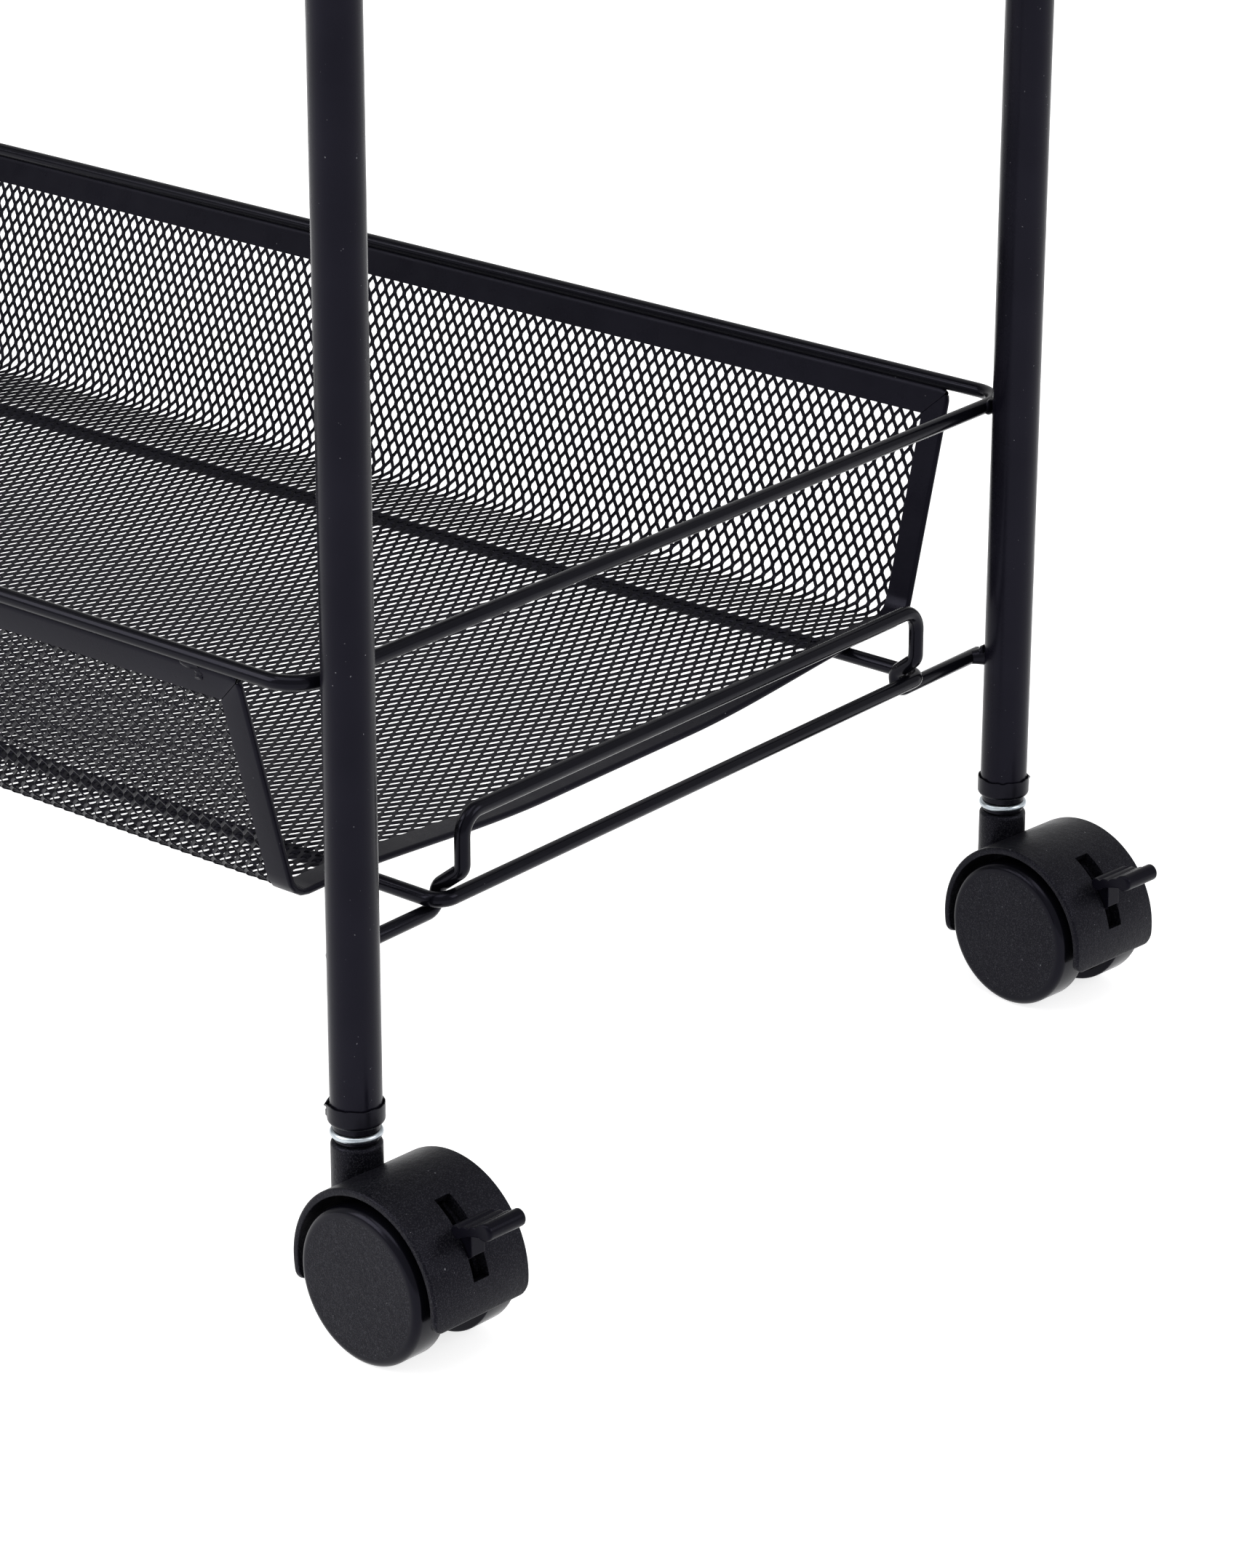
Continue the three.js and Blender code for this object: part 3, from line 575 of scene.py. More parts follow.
def weld_beads(tier):
    """Beads where the rim wire and the hook wires meet the posts, and spots that hold the rim hems."""
    rim = middle_of(f"rim_wire_{tier}").z
    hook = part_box(f"hook_wire_{tier}_brake")[0].z + WIRE_RADIUS
    parts = []
    seed = 1
    for x_sign in (-1, 1):
        for y_sign in (-1, 1):
            post_face = x_sign * (END_X - TUBE_RADIUS)
            at_rim = Vector((post_face - x_sign * 1.0 * MM, y_sign * (POST_Y - 2.2 * MM), rim))
            parts.append(blob(at_rim, RIM_BEAD, seed))
            flare_start = Vector((x_sign * WELD_LINE, y_sign * (POST_Y - FLARE_START), hook))
            in_post = post_face + x_sign * 2.5 * MM
            flare_end = Vector((in_post, y_sign * (POST_Y - FLARE_END), hook + 0.3 * MM))
            parts.append(weld_flare(flare_start, flare_end, FLARE_THIN, FLARE_THICK))
            at_hook = Vector((post_face + x_sign * 0.4 * MM, y_sign * (POST_Y - 3.5 * MM), hook + 0.8 * MM))
            parts.append(blob(at_hook, HOOK_BEAD, seed + 1))
            seed += 2
    for y_sign in (-1, 1):
        for k in range(HEM_SPOTS):
            x = HEM_SPOT_REACH * (2 * k / (HEM_SPOTS - 1) - 1)
            seat = Vector((x, y_sign * (RIM_HALF_WIDTH + 0.3 * MM), rim - WIRE_RADIUS - 1.2 * MM))
            upper = seat + Vector((-2.4, 0, 0.8)) * MM
            lower = seat + Vector((1.4, -0.35 * y_sign, -1.3)) * MM
            parts.append(blob(upper, UPPER_DRIP, seed, 0.5))
            parts.append(blob(lower, LOWER_DRIP, seed + 1, 0.6))
            seed += 1
    obj = add_object(f"weld_beads_{tier}", mesh_from("weld_beads", *joined(parts)))
    dress(obj, WELD_COAT, "cart", "wire")


# ---------------------------------------------------------------- tray: section, mesh and hems


def tray_section():
    """The right half of the folded tray as (distance, y, z); z is measured from the floor over the rods."""
    floor_steps, fold_steps = 200, 24
    wall_height = middle_of("rim_wire_lower").z - RIM_DROP - middle_of("base_wire_lower").z - FLOOR_RISE
    lean = atan((RIM_HALF_WIDTH - FLOOR_HALF_WIDTH) / wall_height)
    fold = pi / 2 - lean
    centre_y = FLOOR_HALF_WIDTH - FOLD_RADIUS * tan(fold / 2)
    line = []
    for y in np.linspace(0, centre_y, floor_steps, endpoint=False):
        slope = min(max((y - FLAT_HALF_WIDTH) / (ROD_Y - FLAT_HALF_WIDTH), 0.0), 1.0)
        line.append((y, -SAG * (1 - slope) * (1 + slope * (1 - slope))))
    for k in range(fold_steps + 1):
        a = fold * k / fold_steps
        line.append((centre_y + FOLD_RADIUS * sin(a), FOLD_RADIUS * (1 - cos(a))))
    line.append((RIM_HALF_WIDTH, wall_height))
    y, z = np.array(line).T
    distance = np.concatenate([[0], np.cumsum(np.hypot(np.diff(y), np.diff(z)))])
    return distance, y, z


SECTION_S, SECTION_Y, SECTION_Z = tray_section()
HALF_SECTION = SECTION_S[-1]


def on_tray(x, s, out, floor_z):
    """Places points given along the cart, round the section and out of the sheet. All are arrays."""
    x, s, out = np.broadcast_arrays(np.asarray(x, float), np.asarray(s, float), np.asarray(out, float))
    side = np.where(s < 0, -1.0, 1.0)
    reach = np.minimum(np.abs(s), HALF_SECTION)
    y = np.interp(reach, SECTION_S, SECTION_Y)
    z = np.interp(reach, SECTION_S, SECTION_Z)
    look = 0.4 * MM
    before, after = np.maximum(reach - look, 0), np.minimum(reach + look, HALF_SECTION)
    run = np.interp(after, SECTION_S, SECTION_Y) - np.interp(before, SECTION_S, SECTION_Y)
    rise = np.interp(after, SECTION_S, SECTION_Z) - np.interp(before, SECTION_S, SECTION_Z)
    length = np.hypot(run, rise)
    return np.stack([x, side * (y + out * rise / length), floor_z + z - out * run / length], axis=-1)


def mesh_panel(floor_z, s_from, s_to):
    """Expanded mesh between two distances round the section: bonds in staggered rows, joined by strands."""
    hidden = 3 * MM
    across = int((TRAY_END_X - hidden) / (MESH_PITCH_X / 2))
    around = int((HALF_SECTION - hidden) / (MESH_PITCH_S / 2))
    columns, rows = np.meshgrid(np.arange(-across, across + 1), np.arange(-around, around + 1), indexing="ij")
    exists = (columns + rows) % 2 == 0
    number = np.full(columns.shape, -1)
    number[exists] = np.arange(exists.sum())
    column, row = columns[exists], rows[exists]
    corner_x = np.array([0, -1, -1, 0, 1, 1]) * BOND_HALF_WIDTH
    corner_s = np.array([BOND_POINT, BOND_SIDE, -BOND_SIDE, -BOND_POINT, -BOND_SIDE, BOND_SIDE])
    x = (column * MESH_PITCH_X / 2)[:, None] + corner_x
    s = (row * MESH_PITCH_S / 2)[:, None] + corner_s
    wave = MESH_WAVE * np.sin(x / WAVE_LENGTH_X + 1.3) * np.sin(s / WAVE_LENGTH_S + 0.7)
    lift = STRAND_TILT * np.broadcast_to(corner_x, x.shape) + wave
    total = x.size
    outer = on_tray(x, s, lift + MESH_THICKNESS / 2, floor_z).reshape(-1, 3)
    inner = on_tray(x, s, lift - MESH_THICKNESS / 2, floor_z).reshape(-1, 3)

    top, top_left, low_left, low, low_right, top_right = range(6)
    own = (row * MESH_PITCH_S / 2 >= s_from) & (row * MESH_PITCH_S / 2 < s_to)
    base = number[column + across, row + around] * 6
    quads = [
        np.stack([base + k for k in (top, top_left, low_left, low)], 1)[own],
        np.stack([base + k for k in (low, low_right, top_right, top)], 1)[own],
    ]
    for step in (-1, 1):
        under = row - 1
        beside = column + step
        inside = own & (under >= -around) & (abs(beside) <= across)
        below = number[beside[inside] + across, under[inside] + around] * 6
        here = base[inside]
        if step < 0:
            strand = [below + top, below + top_right, here + low, here + low_left]
        else:
            strand = [below + top_left, below + top, here + low_right, here + low]
        quads.append(np.stack(strand, 1))
    faces = np.concatenate(quads)

    starts = faces.reshape(-1)
    ends = np.roll(faces, -1, axis=1).reshape(-1)
    keys = np.minimum(starts, ends) * total + np.maximum(starts, ends)
    _, index, counts = np.unique(keys, return_index=True, return_counts=True)
    rim = index[counts == 1]
    walls = np.stack([ends[rim], starts[rim], starts[rim] + total, ends[rim] + total], 1)
    every = np.concatenate([faces, faces[:, ::-1] + total, walls])
    used, compact = np.unique(every, return_inverse=True)
    return np.concatenate([outer, inner])[used], compact.reshape(every.shape)


def quad_mesh(name, points, faces):
    """A mesh straight from arrays, which is quicker than lists for tens of thousands of faces."""
    mesh = bpy.data.meshes.new(name)
    mesh.vertices.add(len(points))
    mesh.vertices.foreach_set("co", points.astype(np.float32).ravel())
    mesh.loops.add(faces.size)
    mesh.loops.foreach_set("vertex_index", faces.astype(np.int32).ravel())
    mesh.polygons.add(len(faces))
    mesh.polygons.foreach_set("loop_start", np.arange(0, faces.size, 4, dtype=np.int32))
    mesh.update(calc_edges=True)
    mesh.validate()
    return mesh


def floor_height(tier):
    """The height of a tray's sheet where it lies on the base rods."""
    return middle_of(f"base_wire_{tier}").z + FLOOR_RISE


def tray_mesh(tier):
    """The mesh in three panels, split where its sheet lies on the base rods."""
    floor_z = floor_height(tier)
    panels = {"left": (-HALF_SECTION, -ROD_Y), "middle": (-ROD_Y, ROD_Y), "right": (ROD_Y, HALF_SECTION)}
    for panel, (start, stop) in panels.items():
        points, faces = mesh_panel(floor_z, start, stop)
        obj = add_object(f"mesh_{panel}_{tier}", quad_mesh("expanded_mesh", points, faces))
        dress(obj, MESH_COAT, "cart", "mesh", f"mesh_tray_{tier}")


def rounded_off(radius, past):
    """How far a rounded corner has fallen away at a distance past the start of its rounding."""
    return radius - sqrt(max(0.0, radius ** 2 - past ** 2))


def hem_outline(fold_line, inner_edge):
    """The folded hem's outline as (distance in from the tray's edge, out of the sheet)."""
    outer_steps, inner_steps = 10, 6
    half, leaf = HEM_THICKNESS / 2, HEM_LEAF
    bend = min(half, 0.5 * (inner_edge - fold_line))
    inside = bend * (half - leaf) / half
    lip = 0.12 * MM
    outline = []
    for k in range(outer_steps + 1):
        a = pi / 2 + pi * k / outer_steps
        outline.append((fold_line + bend + bend * cos(a), half * sin(a)))
    outline += [(inner_edge - min(lip, bend), -half), (inner_edge, -half + lip), (inner_edge, -half + leaf)]
    for k in range(inner_steps + 1):
        a = -pi / 2 - pi * k / inner_steps
        outline.append((fold_line + bend + inside * cos(a), (half - leaf) * sin(a)))
    outline += [(inner_edge, half - leaf), (inner_edge, half - lip), (inner_edge - min(lip, bend), half)]
    return outline


def hem_stations(half_length, steps):
    """Places along a hem, as (place, fold line, inner edge), with mitred and rounded ends."""
    mitre_gap = 0.06 * MM
    mitre_steps = 14
    tip = half_length - HEM_CORNER * (1 - 1 / sqrt(2)) - 0.3 * MM
    straight = half_length - HEM_WIDTH
    places = list(np.linspace(-straight, straight, steps))
    ends = list(np.linspace(straight, tip, mitre_steps)[1:])
    stations = []
    for place in [-p for p in ends[::-1]] + places + ends:
        to_end = half_length - abs(place)
        fold_line = rounded_off(HEM_CORNER, max(0.0, HEM_CORNER - to_end))
        stations.append((place, fold_line, min(HEM_WIDTH, to_end - mitre_gap)))
    return stations


def rim_hem(tier, side):
    """The hem along the top of a long wall, whose fold reaches up to the rim wire."""
    floor_z = floor_height(tier)
    sign = 1 if side == "right" else -1
    rings = []
    for place, fold_line, inner_edge in hem_stations(TRAY_END_X, 40):
        inward, out = np.array(hem_outline(fold_line, inner_edge)).T
        ripple = HEM_RIPPLE * sin(place / HEM_RIPPLE_LENGTH + sign)
        reach = np.sqrt(np.maximum(HEM_THICKNESS ** 2 / 4 - out ** 2, 0)) / (HEM_THICKNESS / 2)
        up_to_wire = RIM_CONTACT * reach * (inward < HEM_WIDTH / 3)
        ring = on_tray(place, sign * (HALF_SECTION - inward), out + ripple, floor_z)
        rings.append([Vector(p) + Vector((0, 0, up)) for p, up in zip(ring, up_to_wire)])
    points, faces = skin(rings)
    obj = add_object(f"rim_hem_{tier}_{side}", mesh_from("rim_hem", points, faces))
    dress(obj, HEM_COAT, "cart", "strip", f"rim_strip_{tier}_{side}")


def end_hem(tier, end):
    """The hem down one wall, across the floor and up the other wall at a tray's end."""
    floor_z = floor_height(tier)
    sign = END_SIGN[end]
    rings = []
    for place, fold_line, inner_edge in hem_stations(HALF_SECTION, 150):
        inward, out = np.array(hem_outline(fold_line, inner_edge)).T
        ring = on_tray(sign * (TRAY_END_X - inward), place, out, floor_z)
        rings.append([Vector(p) for p in ring])
    points, faces = skin(rings)
    obj = add_object(f"end_hem_{tier}_{end}", mesh_from("end_hem", points, faces))
    dress(obj, HEM_COAT, "cart", "strip", f"end_strip_{tier}_{end}")


# ---------------------------------------------------------------- caster pieces


def about_axle(radius, degrees):
    """A point on a circle about the wheel axle, as (x, z); angles go up from the trailing side."""
    a = radians(degrees)
    return TRAIL + radius * cos(a), WHEEL_RADIUS + radius * sin(a)


def plate_skin(outline, half_depth):
    """A plate with an outline in (x, z), centred on y = 0."""
    return skin([[Vector((x, y, z)) for x, z in outline] for y in (-half_depth, half_depth)])


def sector(inner, outer, start, end, half_depth):
    """A plate between two circles and two angles about the wheel axle."""
    steps = 18
    turns = [start + (end - start) * k / steps for k in range(steps + 1)]
    outline = [about_axle(outer, t) for t in turns] + [about_axle(inner, t) for t in turns[::-1]]
    return plate_skin(outline, half_depth)


def hood_shell():
    """The curved cover over both wheels, with rounded long edges and rounded corners at its two ends."""
    corner_steps, middle_steps = 8, 90
    corner_turn = np.degrees(HOOD_CORNER / HOOD_RADIUS)
    easing = [corner_turn * (1 - cos(pi / 2 * k / corner_steps)) for k in range(corner_steps + 1)]
    middle = np.linspace(HOOD_FRONT + corner_turn, HOOD_BACK - corner_turn, middle_steps)[1:-1]
    turns = [HOOD_FRONT + e for e in easing] + list(middle) + [HOOD_BACK - e for e in easing[::-1]]
    rings = []
    for turn in turns:
        from_end = radians(min(turn - HOOD_FRONT, HOOD_BACK - turn)) * HOOD_RADIUS
        half = HOOD_HALF_WIDTH - rounded_off(HOOD_CORNER, max(0.0, HOOD_CORNER - from_end))
        outer = HOOD_RADIUS - 0.7 * rounded_off(HOOD_EDGE, max(0.0, HOOD_EDGE - from_end))
        inner = HOOD_WELL + HOOD_INNER_EDGE
        outline = arc((outer - HOOD_EDGE, half - HOOD_EDGE), HOOD_EDGE, 90, 0, 6)
        outline += arc((outer - HOOD_EDGE, HOOD_EDGE - half), HOOD_EDGE, 0, -90, 6)
        outline += arc((inner, HOOD_INNER_EDGE - half), HOOD_INNER_EDGE, -90, -180, 3)
        outline += arc((inner, half - HOOD_INNER_EDGE), HOOD_INNER_EDGE, 180, 90, 3)
        ring = []
        for r, y in outline:
            x, z = about_axle(r, turn)
            ring.append(Vector((x, y, z)))
        rings.append(ring)
    return skin(rings)


def hood_mesh(has_brake):
    """The hood: shell, web, neck, bores, and the lever's slot and room where it has a brake."""
    into_shell = HOOD_WELL + 1.0 * MM
    web_bottom = WHEEL_RADIUS + HOOD_RADIUS * sin(radians(HOOD_BACK))
    web = [about_axle(into_shell, turn) for turn in np.linspace(HOOD_FRONT + 1, HOOD_BACK - 1, 60)]
    web += [(TRAIL - HOOD_BOSS, web_bottom), (TRAIL + HOOD_BOSS, web_bottom)]
    shoulder = arc((NECK_RADIUS - NECK_SHOULDER, NECK_TOP - NECK_SHOULDER), NECK_SHOULDER, 0, 90, 6)
    neck_profile = [(0, WHEEL_RADIUS), (NECK_RADIUS, WHEEL_RADIUS), *shoulder, (0, NECK_TOP)]
    hood = tool("hood", *hood_shell())
    neck = tool("neck", *turned_solid(neck_profile, 56))
    for side in (-1, 1):
        low, high = sorted((side * HOOD_WEB, side * 2 * HOOD_HALF_WIDTH))
        bore_out(neck, HOOD_WELL + 0.3 * MM, low, high, 96, "Y")
    combine(hood, tool("web", *plate_skin(web, HOOD_WEB)), "UNION")
    combine(hood, neck, "UNION")
    bore_out(hood, STEM_RADIUS + 0.4 * MM, STEM_BOTTOM - GAP, STEM_TOP, 40)
    bore_out(hood, BORE, -HOOD_HALF_WIDTH, HOOD_HALF_WIDTH, 40, "Y")
    if has_brake:
        slot = sector(HOOD_WELL - 2 * MM, HOOD_RADIUS + 2 * MM, SLOT_LOW, SLOT_HIGH, SLOT_HALF_WIDTH)
        combine(hood, tool("slot", *slot), "DIFFERENCE")
        half = LEVER_TONGUE + 0.4 * MM
        room = sector(2 * MM, HOOD_WELL, SLOT_LOW - 4, SLOT_HIGH + 4, half)
        combine(hood, tool("room", *room), "DIFFERENCE")
        bore_out(hood, LEVER_RING + 0.6 * MM, -half, half, 40, "Y")
    mesh = hood.data
    bpy.data.objects.remove(hood)
    return mesh


def wheel_mesh(side):
    """One wheel: a cup with a textured flat face and a smoother rounded rim, on the +Y or -Y side."""
    cup_floor = WHEEL_FACE - WHEEL_WALL
    rounding = arc((WHEEL_RADIUS - WHEEL_ROUNDING, WHEEL_FACE - WHEEL_ROUNDING), WHEEL_ROUNDING, 0, 90, 9)
    inner_edge = 0.6 * MM
    profile = [
        (0, AXLE_END), (BORE, AXLE_END), (BORE, WHEEL_HUB_INNER), (WHEEL_HUB, WHEEL_HUB_INNER),
        (WHEEL_HUB, cup_floor), (WHEEL_RIM_INNER, cup_floor), (WHEEL_RIM_INNER, TREAD_INNER),
        *arc((WHEEL_RADIUS - inner_edge, TREAD_INNER + inner_edge), inner_edge, -90, 0, 4),
        *rounding, (WHEEL_RADIUS - WHEEL_ROUNDING - 0.5 * MM, WHEEL_FACE), (0, WHEEL_FACE),
    ]
    profile = [(r, side * y) for r, y in profile]
    points, faces = turned_solid(profile, 112, "Y")
    mesh = mesh_from("wheel", points, faces, WELD_DISTANCE)
    mesh.materials.append(FACE_PLASTIC)
    mesh.materials.append(RIM_PLASTIC)
    for polygon in mesh.polygons:
        from_axle = Vector((polygon.center.x - TRAIL, polygon.center.z - WHEEL_RADIUS)).length
        polygon.material_index = 1 if from_axle > WHEEL_RADIUS - WHEEL_ROUNDING - 0.6 * MM else 0
    return mesh


def capsule(centre_x, centre_z, radius, start_y, end_y):
    """A round bar along Y with domed ends."""
    steps, sides = 8, 28
    tip = 0.05 * radius
    angles = [pi / 2 * k / steps for k in range(steps, 0, -1)]
    insets = [radius * (1 - sin(a)) for a in angles]
    radii = [max(radius * cos(a), tip) for a in angles]
    opening = [Vector((centre_x, start_y + inset, centre_z)) for inset in insets]
    closing = [Vector((centre_x, end_y - inset, centre_z)) for inset in insets[::-1]]
    return skin(round_rings([*opening, *closing], [*radii, *radii[::-1]], sides))


def pedal_outline():
    """The pedal's section in (x, z): a lobe along each edge, ribs between them, a hollow underside."""
    lobe_turn = 190
    outer_steps, under_steps, inner_steps, top_steps = 12, 6, 10, 44
    inner = Vector(about_axle(*PEDAL_INNER))
    outer = Vector(about_axle(*PEDAL_OUTER))
    along = (outer - inner).normalized()
    up = Vector((-along.y, along.x))
    span = (outer - inner).length
    outline = []
    for k in range(outer_steps + 1):
        a = radians(75 - lobe_turn * k / outer_steps)
        outline.append(outer + (along * cos(a) + up * sin(a)) * PEDAL_OUTER_RADIUS)
    for k in range(1, under_steps):
        t = 1 - k / under_steps
        outline.append(inner + along * span * t - up * (PEDAL_WEB - PEDAL_HOLLOW * sin(pi * t)))
    for k in range(inner_steps + 1):
        a = radians(-80 - lobe_turn * k / inner_steps)
        outline.append(inner + (along * cos(a) + up * sin(a)) * PEDAL_INNER_RADIUS)
    rib_start, rib_end = 0.8 * PEDAL_INNER_RADIUS, span - 0.8 * PEDAL_OUTER_RADIUS
    for k in range(1, top_steps):
        x = span * k / top_steps
        inner_lobe = sqrt(max(PEDAL_INNER_RADIUS ** 2 - x ** 2, 0.0))
        outer_lobe = sqrt(max(PEDAL_OUTER_RADIUS ** 2 - (span - x) ** 2, 0.0))
        along_ribs = min(max((x - rib_start) / (rib_end - rib_start), 0.0), 1.0)
        rib = PEDAL_WEB - PEDAL_RIB_HEIGHT + PEDAL_RIB_HEIGHT * abs(sin(pi * PEDAL_RIBS * along_ribs))
        outline.append(inner + along * x + up * max(inner_lobe, outer_lobe, rib))
    return outline


def pedal_skin():
    """The pedal, whose two ends along Y are rounded by shrinking its section."""
    end_steps = 4
    outline = pedal_outline()
    centre = sum(outline, Vector((0, 0))) / len(outline)
    rings = []
    for side in (-1, 1):
        for k in range(end_steps + 1)[::-side]:
            a = pi / 2 * k / end_steps
            shrink = 1 - PEDAL_END_SHRINK * (1 - sin(a))
            y = side * (PEDAL_HALF - PEDAL_END_ROUNDING * (1 - cos(a)))
            ring = []
            for p in outline:
                x = centre.x + (p.x - centre.x) * shrink
                z = centre.y + (p.y - centre.y) * shrink
                ring.append(Vector((x, y, z)))
            rings.append(ring)
    return skin(rings)


def lever_mesh():
    """The brake lever: a ring on the axle, a thin tongue, a neck through the slot and a ribbed pedal."""
    half = LEVER_TONGUE
    hole = BORE + 0.1 * MM
    ring = [(hole, -half), (LEVER_RING, -half), (LEVER_RING, half), (hole, half)]
    root = LEVER_RING - 1.5 * MM
    tongue = [about_axle(distance, LEVER_ARM_ANGLE + spread) for distance, spread in (
        (root, -TONGUE_ROOT_SPREAD), (HOOD_WELL, -TONGUE_TIP_SPREAD),
        (HOOD_WELL, TONGUE_TIP_SPREAD), (root, TONGUE_ROOT_SPREAD),
    )]
    neck = [about_axle(*point) for point in (*NECK_FRONT, *NECK_BACK)]
    outer_x, outer_z = about_axle(*PEDAL_OUTER)
    edge_lobe = capsule(outer_x, outer_z, PEDAL_OUTER_RADIUS, 0, PEDAL_HALF + 0.6 * MM)
    parts = [
        turned(ring, 48, "Y"),
        plate_skin(tongue, half),
        plate_skin(neck, LEVER_NECK),
        pedal_skin(),
        edge_lobe,
    ]
    obj = tool("lever", *joined(parts))
    fuse = obj.modifiers.new("fuse", "REMESH")
    fuse.mode = "VOXEL"
    fuse.voxel_size = 0.2 * MM
    soften = obj.modifiers.new("soften", "SMOOTH")
    soften.factor = 0.5
    soften.iterations = 2
    bake_modifiers(obj)
    mesh = obj.data
    bpy.data.objects.remove(obj)
    return mesh


def socket_mesh(tear, seed):
    """The plug in the tube's foot; its thin skirt is ragged, with a torn tab over an ear at one angle."""
    shoulder = TUBE_FOOT - GAP
    bore = STEM_RADIUS + 0.3 * MM
    ear_levels = (EAR_LOW, EAR_LOW - EAR_EASE, EAR_HIGH + EAR_EASE, EAR_HIGH)
    profile = [
        (bore, COLLAR_TOP + GAP), (SPIGOT_RADIUS, COLLAR_TOP + GAP), (SPIGOT_RADIUS, shoulder - 2.2 * MM),
        *arc((SKIRT_RADIUS - 1.4 * MM, shoulder - 0.6 * MM), 1.4 * MM, -75, 0, 5),
        *[(SKIRT_RADIUS, SKIRT_TOP - below) for below in ear_levels],
        (SKIRT_RADIUS, SKIRT_TOP - 1.6 * MM), (SKIRT_RADIUS - 0.05 * MM, SKIRT_TOP - 0.1 * MM),
        (SKIRT_RADIUS - 0.25 * MM, SKIRT_TOP), (SKIRT_INNER, SKIRT_TOP - 0.1 * MM), (SKIRT_INNER, shoulder),
        (BARREL_RADIUS, shoulder), (BARREL_RADIUS, BARREL_TOP), (bore, BARREL_TOP),
    ]
    points, faces = turned(profile, 96)
    ragged_from = SKIRT_TOP - RAGGED_BAND
    for p in points:
        radius = sqrt(p.x ** 2 + p.y ** 2)
        angle = atan2(p.y, p.x)
        away = abs((angle - tear + pi) % (2 * pi) - pi)
        on_ear = SKIRT_TOP - EAR_LOW + 0.1 * MM < p.z < SKIRT_TOP - EAR_HIGH - 0.1 * MM
        if radius > SKIRT_INNER + 0.2 * MM and on_ear and away < EAR_HALF_ANGLE:
            swell = 1 + EAR_REACH / SKIRT_RADIUS * (1 - away / EAR_HALF_ANGLE)
            p.x *= swell
            p.y *= swell
        if radius < SKIRT_INNER - 0.1 * MM or not ragged_from < p.z < SKIRT_TOP + 1 * MM:
            continue
        weight = (p.z - ragged_from) / (SKIRT_TOP - ragged_from)
        around = Vector((RAGGED_WAVES * cos(angle), RAGGED_WAVES * sin(angle), seed))
        p.z += weight * RAGGED_HEIGHT * noise.noise(around)
        if away < TEAR_HALF_ANGLE:
            pull = (1 - away / TEAR_HALF_ANGLE) * weight
            p.x *= 1 + TEAR_OUT * pull
            p.y *= 1 + TEAR_OUT * pull
            p.z -= TEAR_DOWN * pull
    return mesh_from("socket", points, faces, WELD_DISTANCE)


def stem_mesh():
    """The plated pin with its collar, whose edge is rounded like a ring."""
    half = (COLLAR_TOP - COLLAR_BOTTOM) / 2
    edge = arc((COLLAR_RADIUS - half, COLLAR_BOTTOM + half), half, -90, 90, 12)
    foot_bevel, top_bevel = 0.4 * MM, 1 * MM
    profile = [
        (0, STEM_BOTTOM), (STEM_RADIUS - foot_bevel, STEM_BOTTOM), (STEM_RADIUS, STEM_BOTTOM + foot_bevel),
        (STEM_RADIUS, COLLAR_BOTTOM), *edge, (STEM_RADIUS, COLLAR_TOP),
        (STEM_RADIUS, STEM_TOP - top_bevel), (STEM_RADIUS - top_bevel, STEM_TOP), (0, STEM_TOP),
    ]
    return mesh_from("stem", *turned_solid(profile, 80), WELD_DISTANCE)


def washer_mesh():
    """The black washer between the neck and the collar."""
    low, high = NECK_TOP + GAP, COLLAR_BOTTOM - 0.02 * MM
    hole = STEM_RADIUS + 0.05 * MM
    edge = 0.25 * MM
    profile = [(hole, low), (WASHER_RADIUS - edge, low), (WASHER_RADIUS, low + edge),
               (WASHER_RADIUS, high - edge), (WASHER_RADIUS - edge, high), (hole, high)]
    return mesh_from("washer", *turned(profile, 64), WELD_DISTANCE)


# ---------------------------------------------------------------- assembly

for end in END_SIGN:
    end_frame(end)

for tier in TIERS:
    ring_wire(f"rim_ring_{tier}", f"rim_wire_{tier}", RIM_BEND)
    ring_wire(f"base_ring_{tier}", f"base_wire_{tier}", BASE_BEND)
    weld_beads(tier)
    tray_mesh(tier)
    for side in ("right", "left"):
        rim_hem(tier, side)
    for end in END_SIGN:
        end_hem(tier, end)
        hook_wire(tier, end)

joints = {joint["name"]: joint for joint in frame["joints"]}
corners = [name.removeprefix("swivel_turn_") for name in joints if name.startswith("swivel_turn_")]
shared = {
    "hood": {braked: hood_mesh(braked) for braked in (True, False)},
    "wheel": {"one": wheel_mesh(-1), "two": wheel_mesh(1)},
    "lever": lever_mesh(),
    "stem": stem_mesh(),
    "washer": washer_mesh(),
}


def placed(name, mesh, corner):
    """A caster piece moved from its own axes to its corner, turned as the part's wheel joint says."""
    axis = joints[f"wheel_two_spin_{corner}"]["axis"]
    post = joints[f"swivel_turn_{corner}"]["pos_m"]
    turn = atan2(-axis[0], axis[1])
    copy = mesh.copy()
    copy.transform(Matrix.Translation((post[0], post[1], 0)) @ Matrix.Rotation(turn, 4, "Z"))
    return add_object(f"{name}_{corner}", copy)


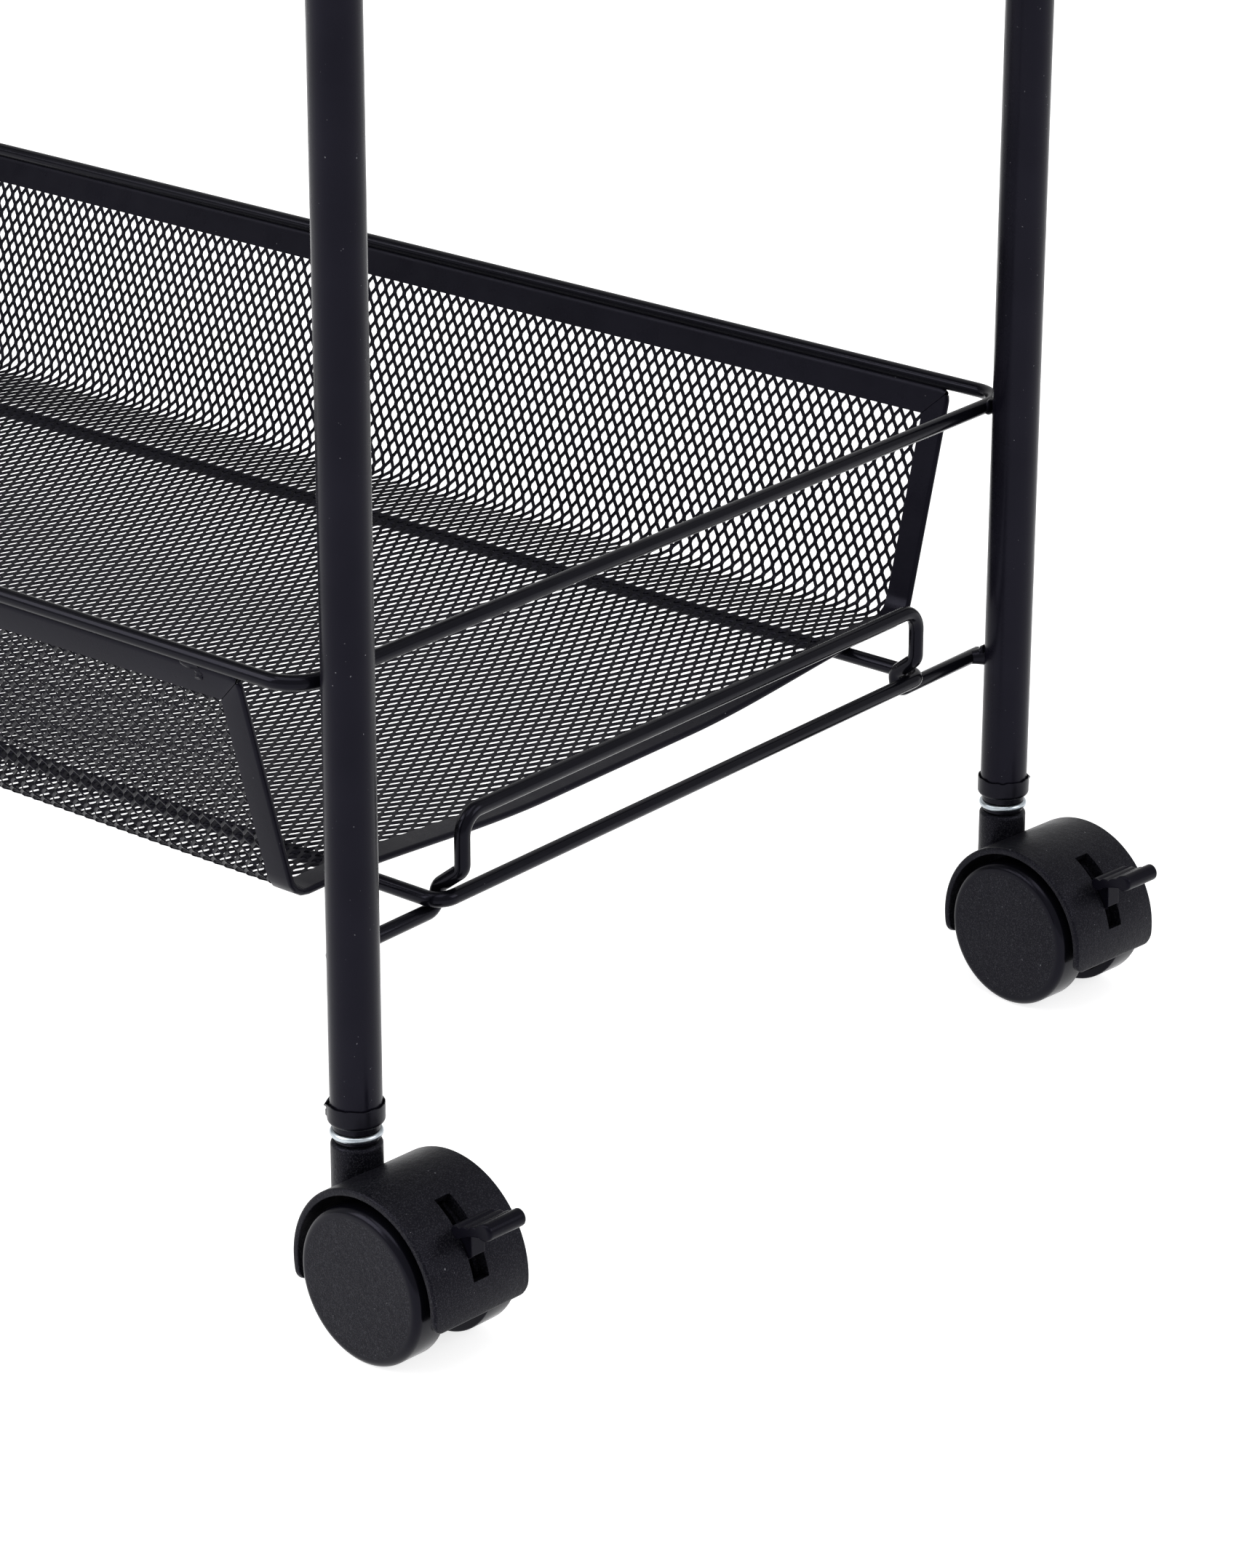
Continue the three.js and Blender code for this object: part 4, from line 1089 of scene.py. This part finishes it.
for number, corner in enumerate(corners):
    braked = corner.startswith("brake")
    swivel = f"swivel_{corner}"
    socket = placed("socket", socket_mesh(radians(TEARS[corner]), seed=number * 5.3), corner)
    dress(socket, SOCKET_PLASTIC, "cart", "socket", f"tube_socket_{corner}")
    dress(placed("stem", shared["stem"], corner), ZINC, "cart", "zinc", f"caster_stem_{corner}")
    dress(placed("washer", shared["washer"], corner), SOCKET_PLASTIC, "cart", "socket")
    hood = placed("hood", shared["hood"][braked], corner)
    dress(hood, HOOD_PLASTIC, swivel, "hood", f"caster_hood_{corner}")
    for which in ("one", "two"):
        wheel = placed(f"twin_wheel_{which}", shared["wheel"][which], corner)
        dress(wheel, FACE_PLASTIC, f"{which}_wheel_{corner}", "wheel", f"wheel_{which}_{corner}")
    if braked:
        lever = placed("lever", shared["lever"], corner)
        dress(lever, LEVER_PLASTIC, f"lever_{corner}", "lever", f"brake_lever_{corner}")
    axle = frame["nodes"][f"wheel_axle_{corner}"]
    axle.data.materials.clear()
    axle.data.materials.append(ZINC)

# ---------------------------------------------------------------- floor, light and camera

FLOOR_REACH = 30.0
floor_corners = [(x * FLOOR_REACH, y * FLOOR_REACH, 0) for x, y in ((-1, -1), (1, -1), (1, 1), (-1, 1))]
floor_mesh = bpy.data.meshes.new("floor")
floor_mesh.from_pydata(floor_corners, [], [(0, 1, 2, 3)])
floor_mesh.materials.append(FLOOR)
add_object("floor", floor_mesh)

world = bpy.data.worlds.new("studio")
bpy.context.scene.world = world
world.use_nodes = True
background = world.node_tree.nodes["Background"]
background.inputs["Color"].default_value = (1.0, 1.0, 1.0, 1.0)
background.inputs["Strength"].default_value = 0.75


def direction(azimuth, elevation):
    """The way towards a lamp or camera: azimuth 0 is on the -Y side and 90 degrees is on the +X side."""
    return Vector((sin(azimuth) * cos(elevation), -cos(azimuth) * cos(elevation), sin(elevation)))


def soft_light(name, azimuth, elevation, distance, size, power):
    """A large square lamp that faces the cart's lower middle from an azimuth and elevation in degrees."""
    aim = Vector((0, 0, 0.35))
    away = direction(radians(azimuth), radians(elevation))
    lamp = bpy.data.lights.new(name, "AREA")
    lamp.size = size
    lamp.energy = power
    obj = bpy.data.objects.new(name, lamp)
    obj.location = aim + away * distance
    obj.rotation_mode = "QUATERNION"
    obj.rotation_quaternion = (-away).to_track_quat("-Z", "Y")
    bpy.context.scene.collection.objects.link(obj)


soft_light("overhead", azimuth=30, elevation=75, distance=2.6, size=2.2, power=36)
soft_light("left_bank", azimuth=-30, elevation=32, distance=2.6, size=1.8, power=46)
soft_light("right_bank", azimuth=110, elevation=25, distance=2.8, size=1.2, power=17)

# The camera stands off the brake end's left corner, at about the upper tray's height, and looks down.
CAMERA_PLACE = Vector((1.2007, -1.1622, 0.7388))
CAMERA_AZIMUTH, CAMERA_ELEVATION, CAMERA_ROLL = radians(39.43), radians(22.57), radians(0.165)
LENS_LENGTH, SENSOR_WIDTH = 115.48, 36.0
back = direction(CAMERA_AZIMUTH, CAMERA_ELEVATION)
right = (-back).cross(Vector((0, 0, 1))).normalized()
up = right.cross(-back)
right, up = right * cos(CAMERA_ROLL) + up * sin(CAMERA_ROLL), up * cos(CAMERA_ROLL) - right * sin(CAMERA_ROLL)
lens = bpy.data.cameras.new("camera")
lens.lens = LENS_LENGTH
lens.sensor_width = SENSOR_WIDTH
camera = bpy.data.objects.new("camera", lens)
camera.matrix_world = Matrix.Translation(CAMERA_PLACE) @ Matrix((right, up, back)).transposed().to_4x4()
bpy.context.scene.collection.objects.link(camera)
bpy.context.scene.camera = camera
bpy.context.scene.view_settings.view_transform = "Standard"
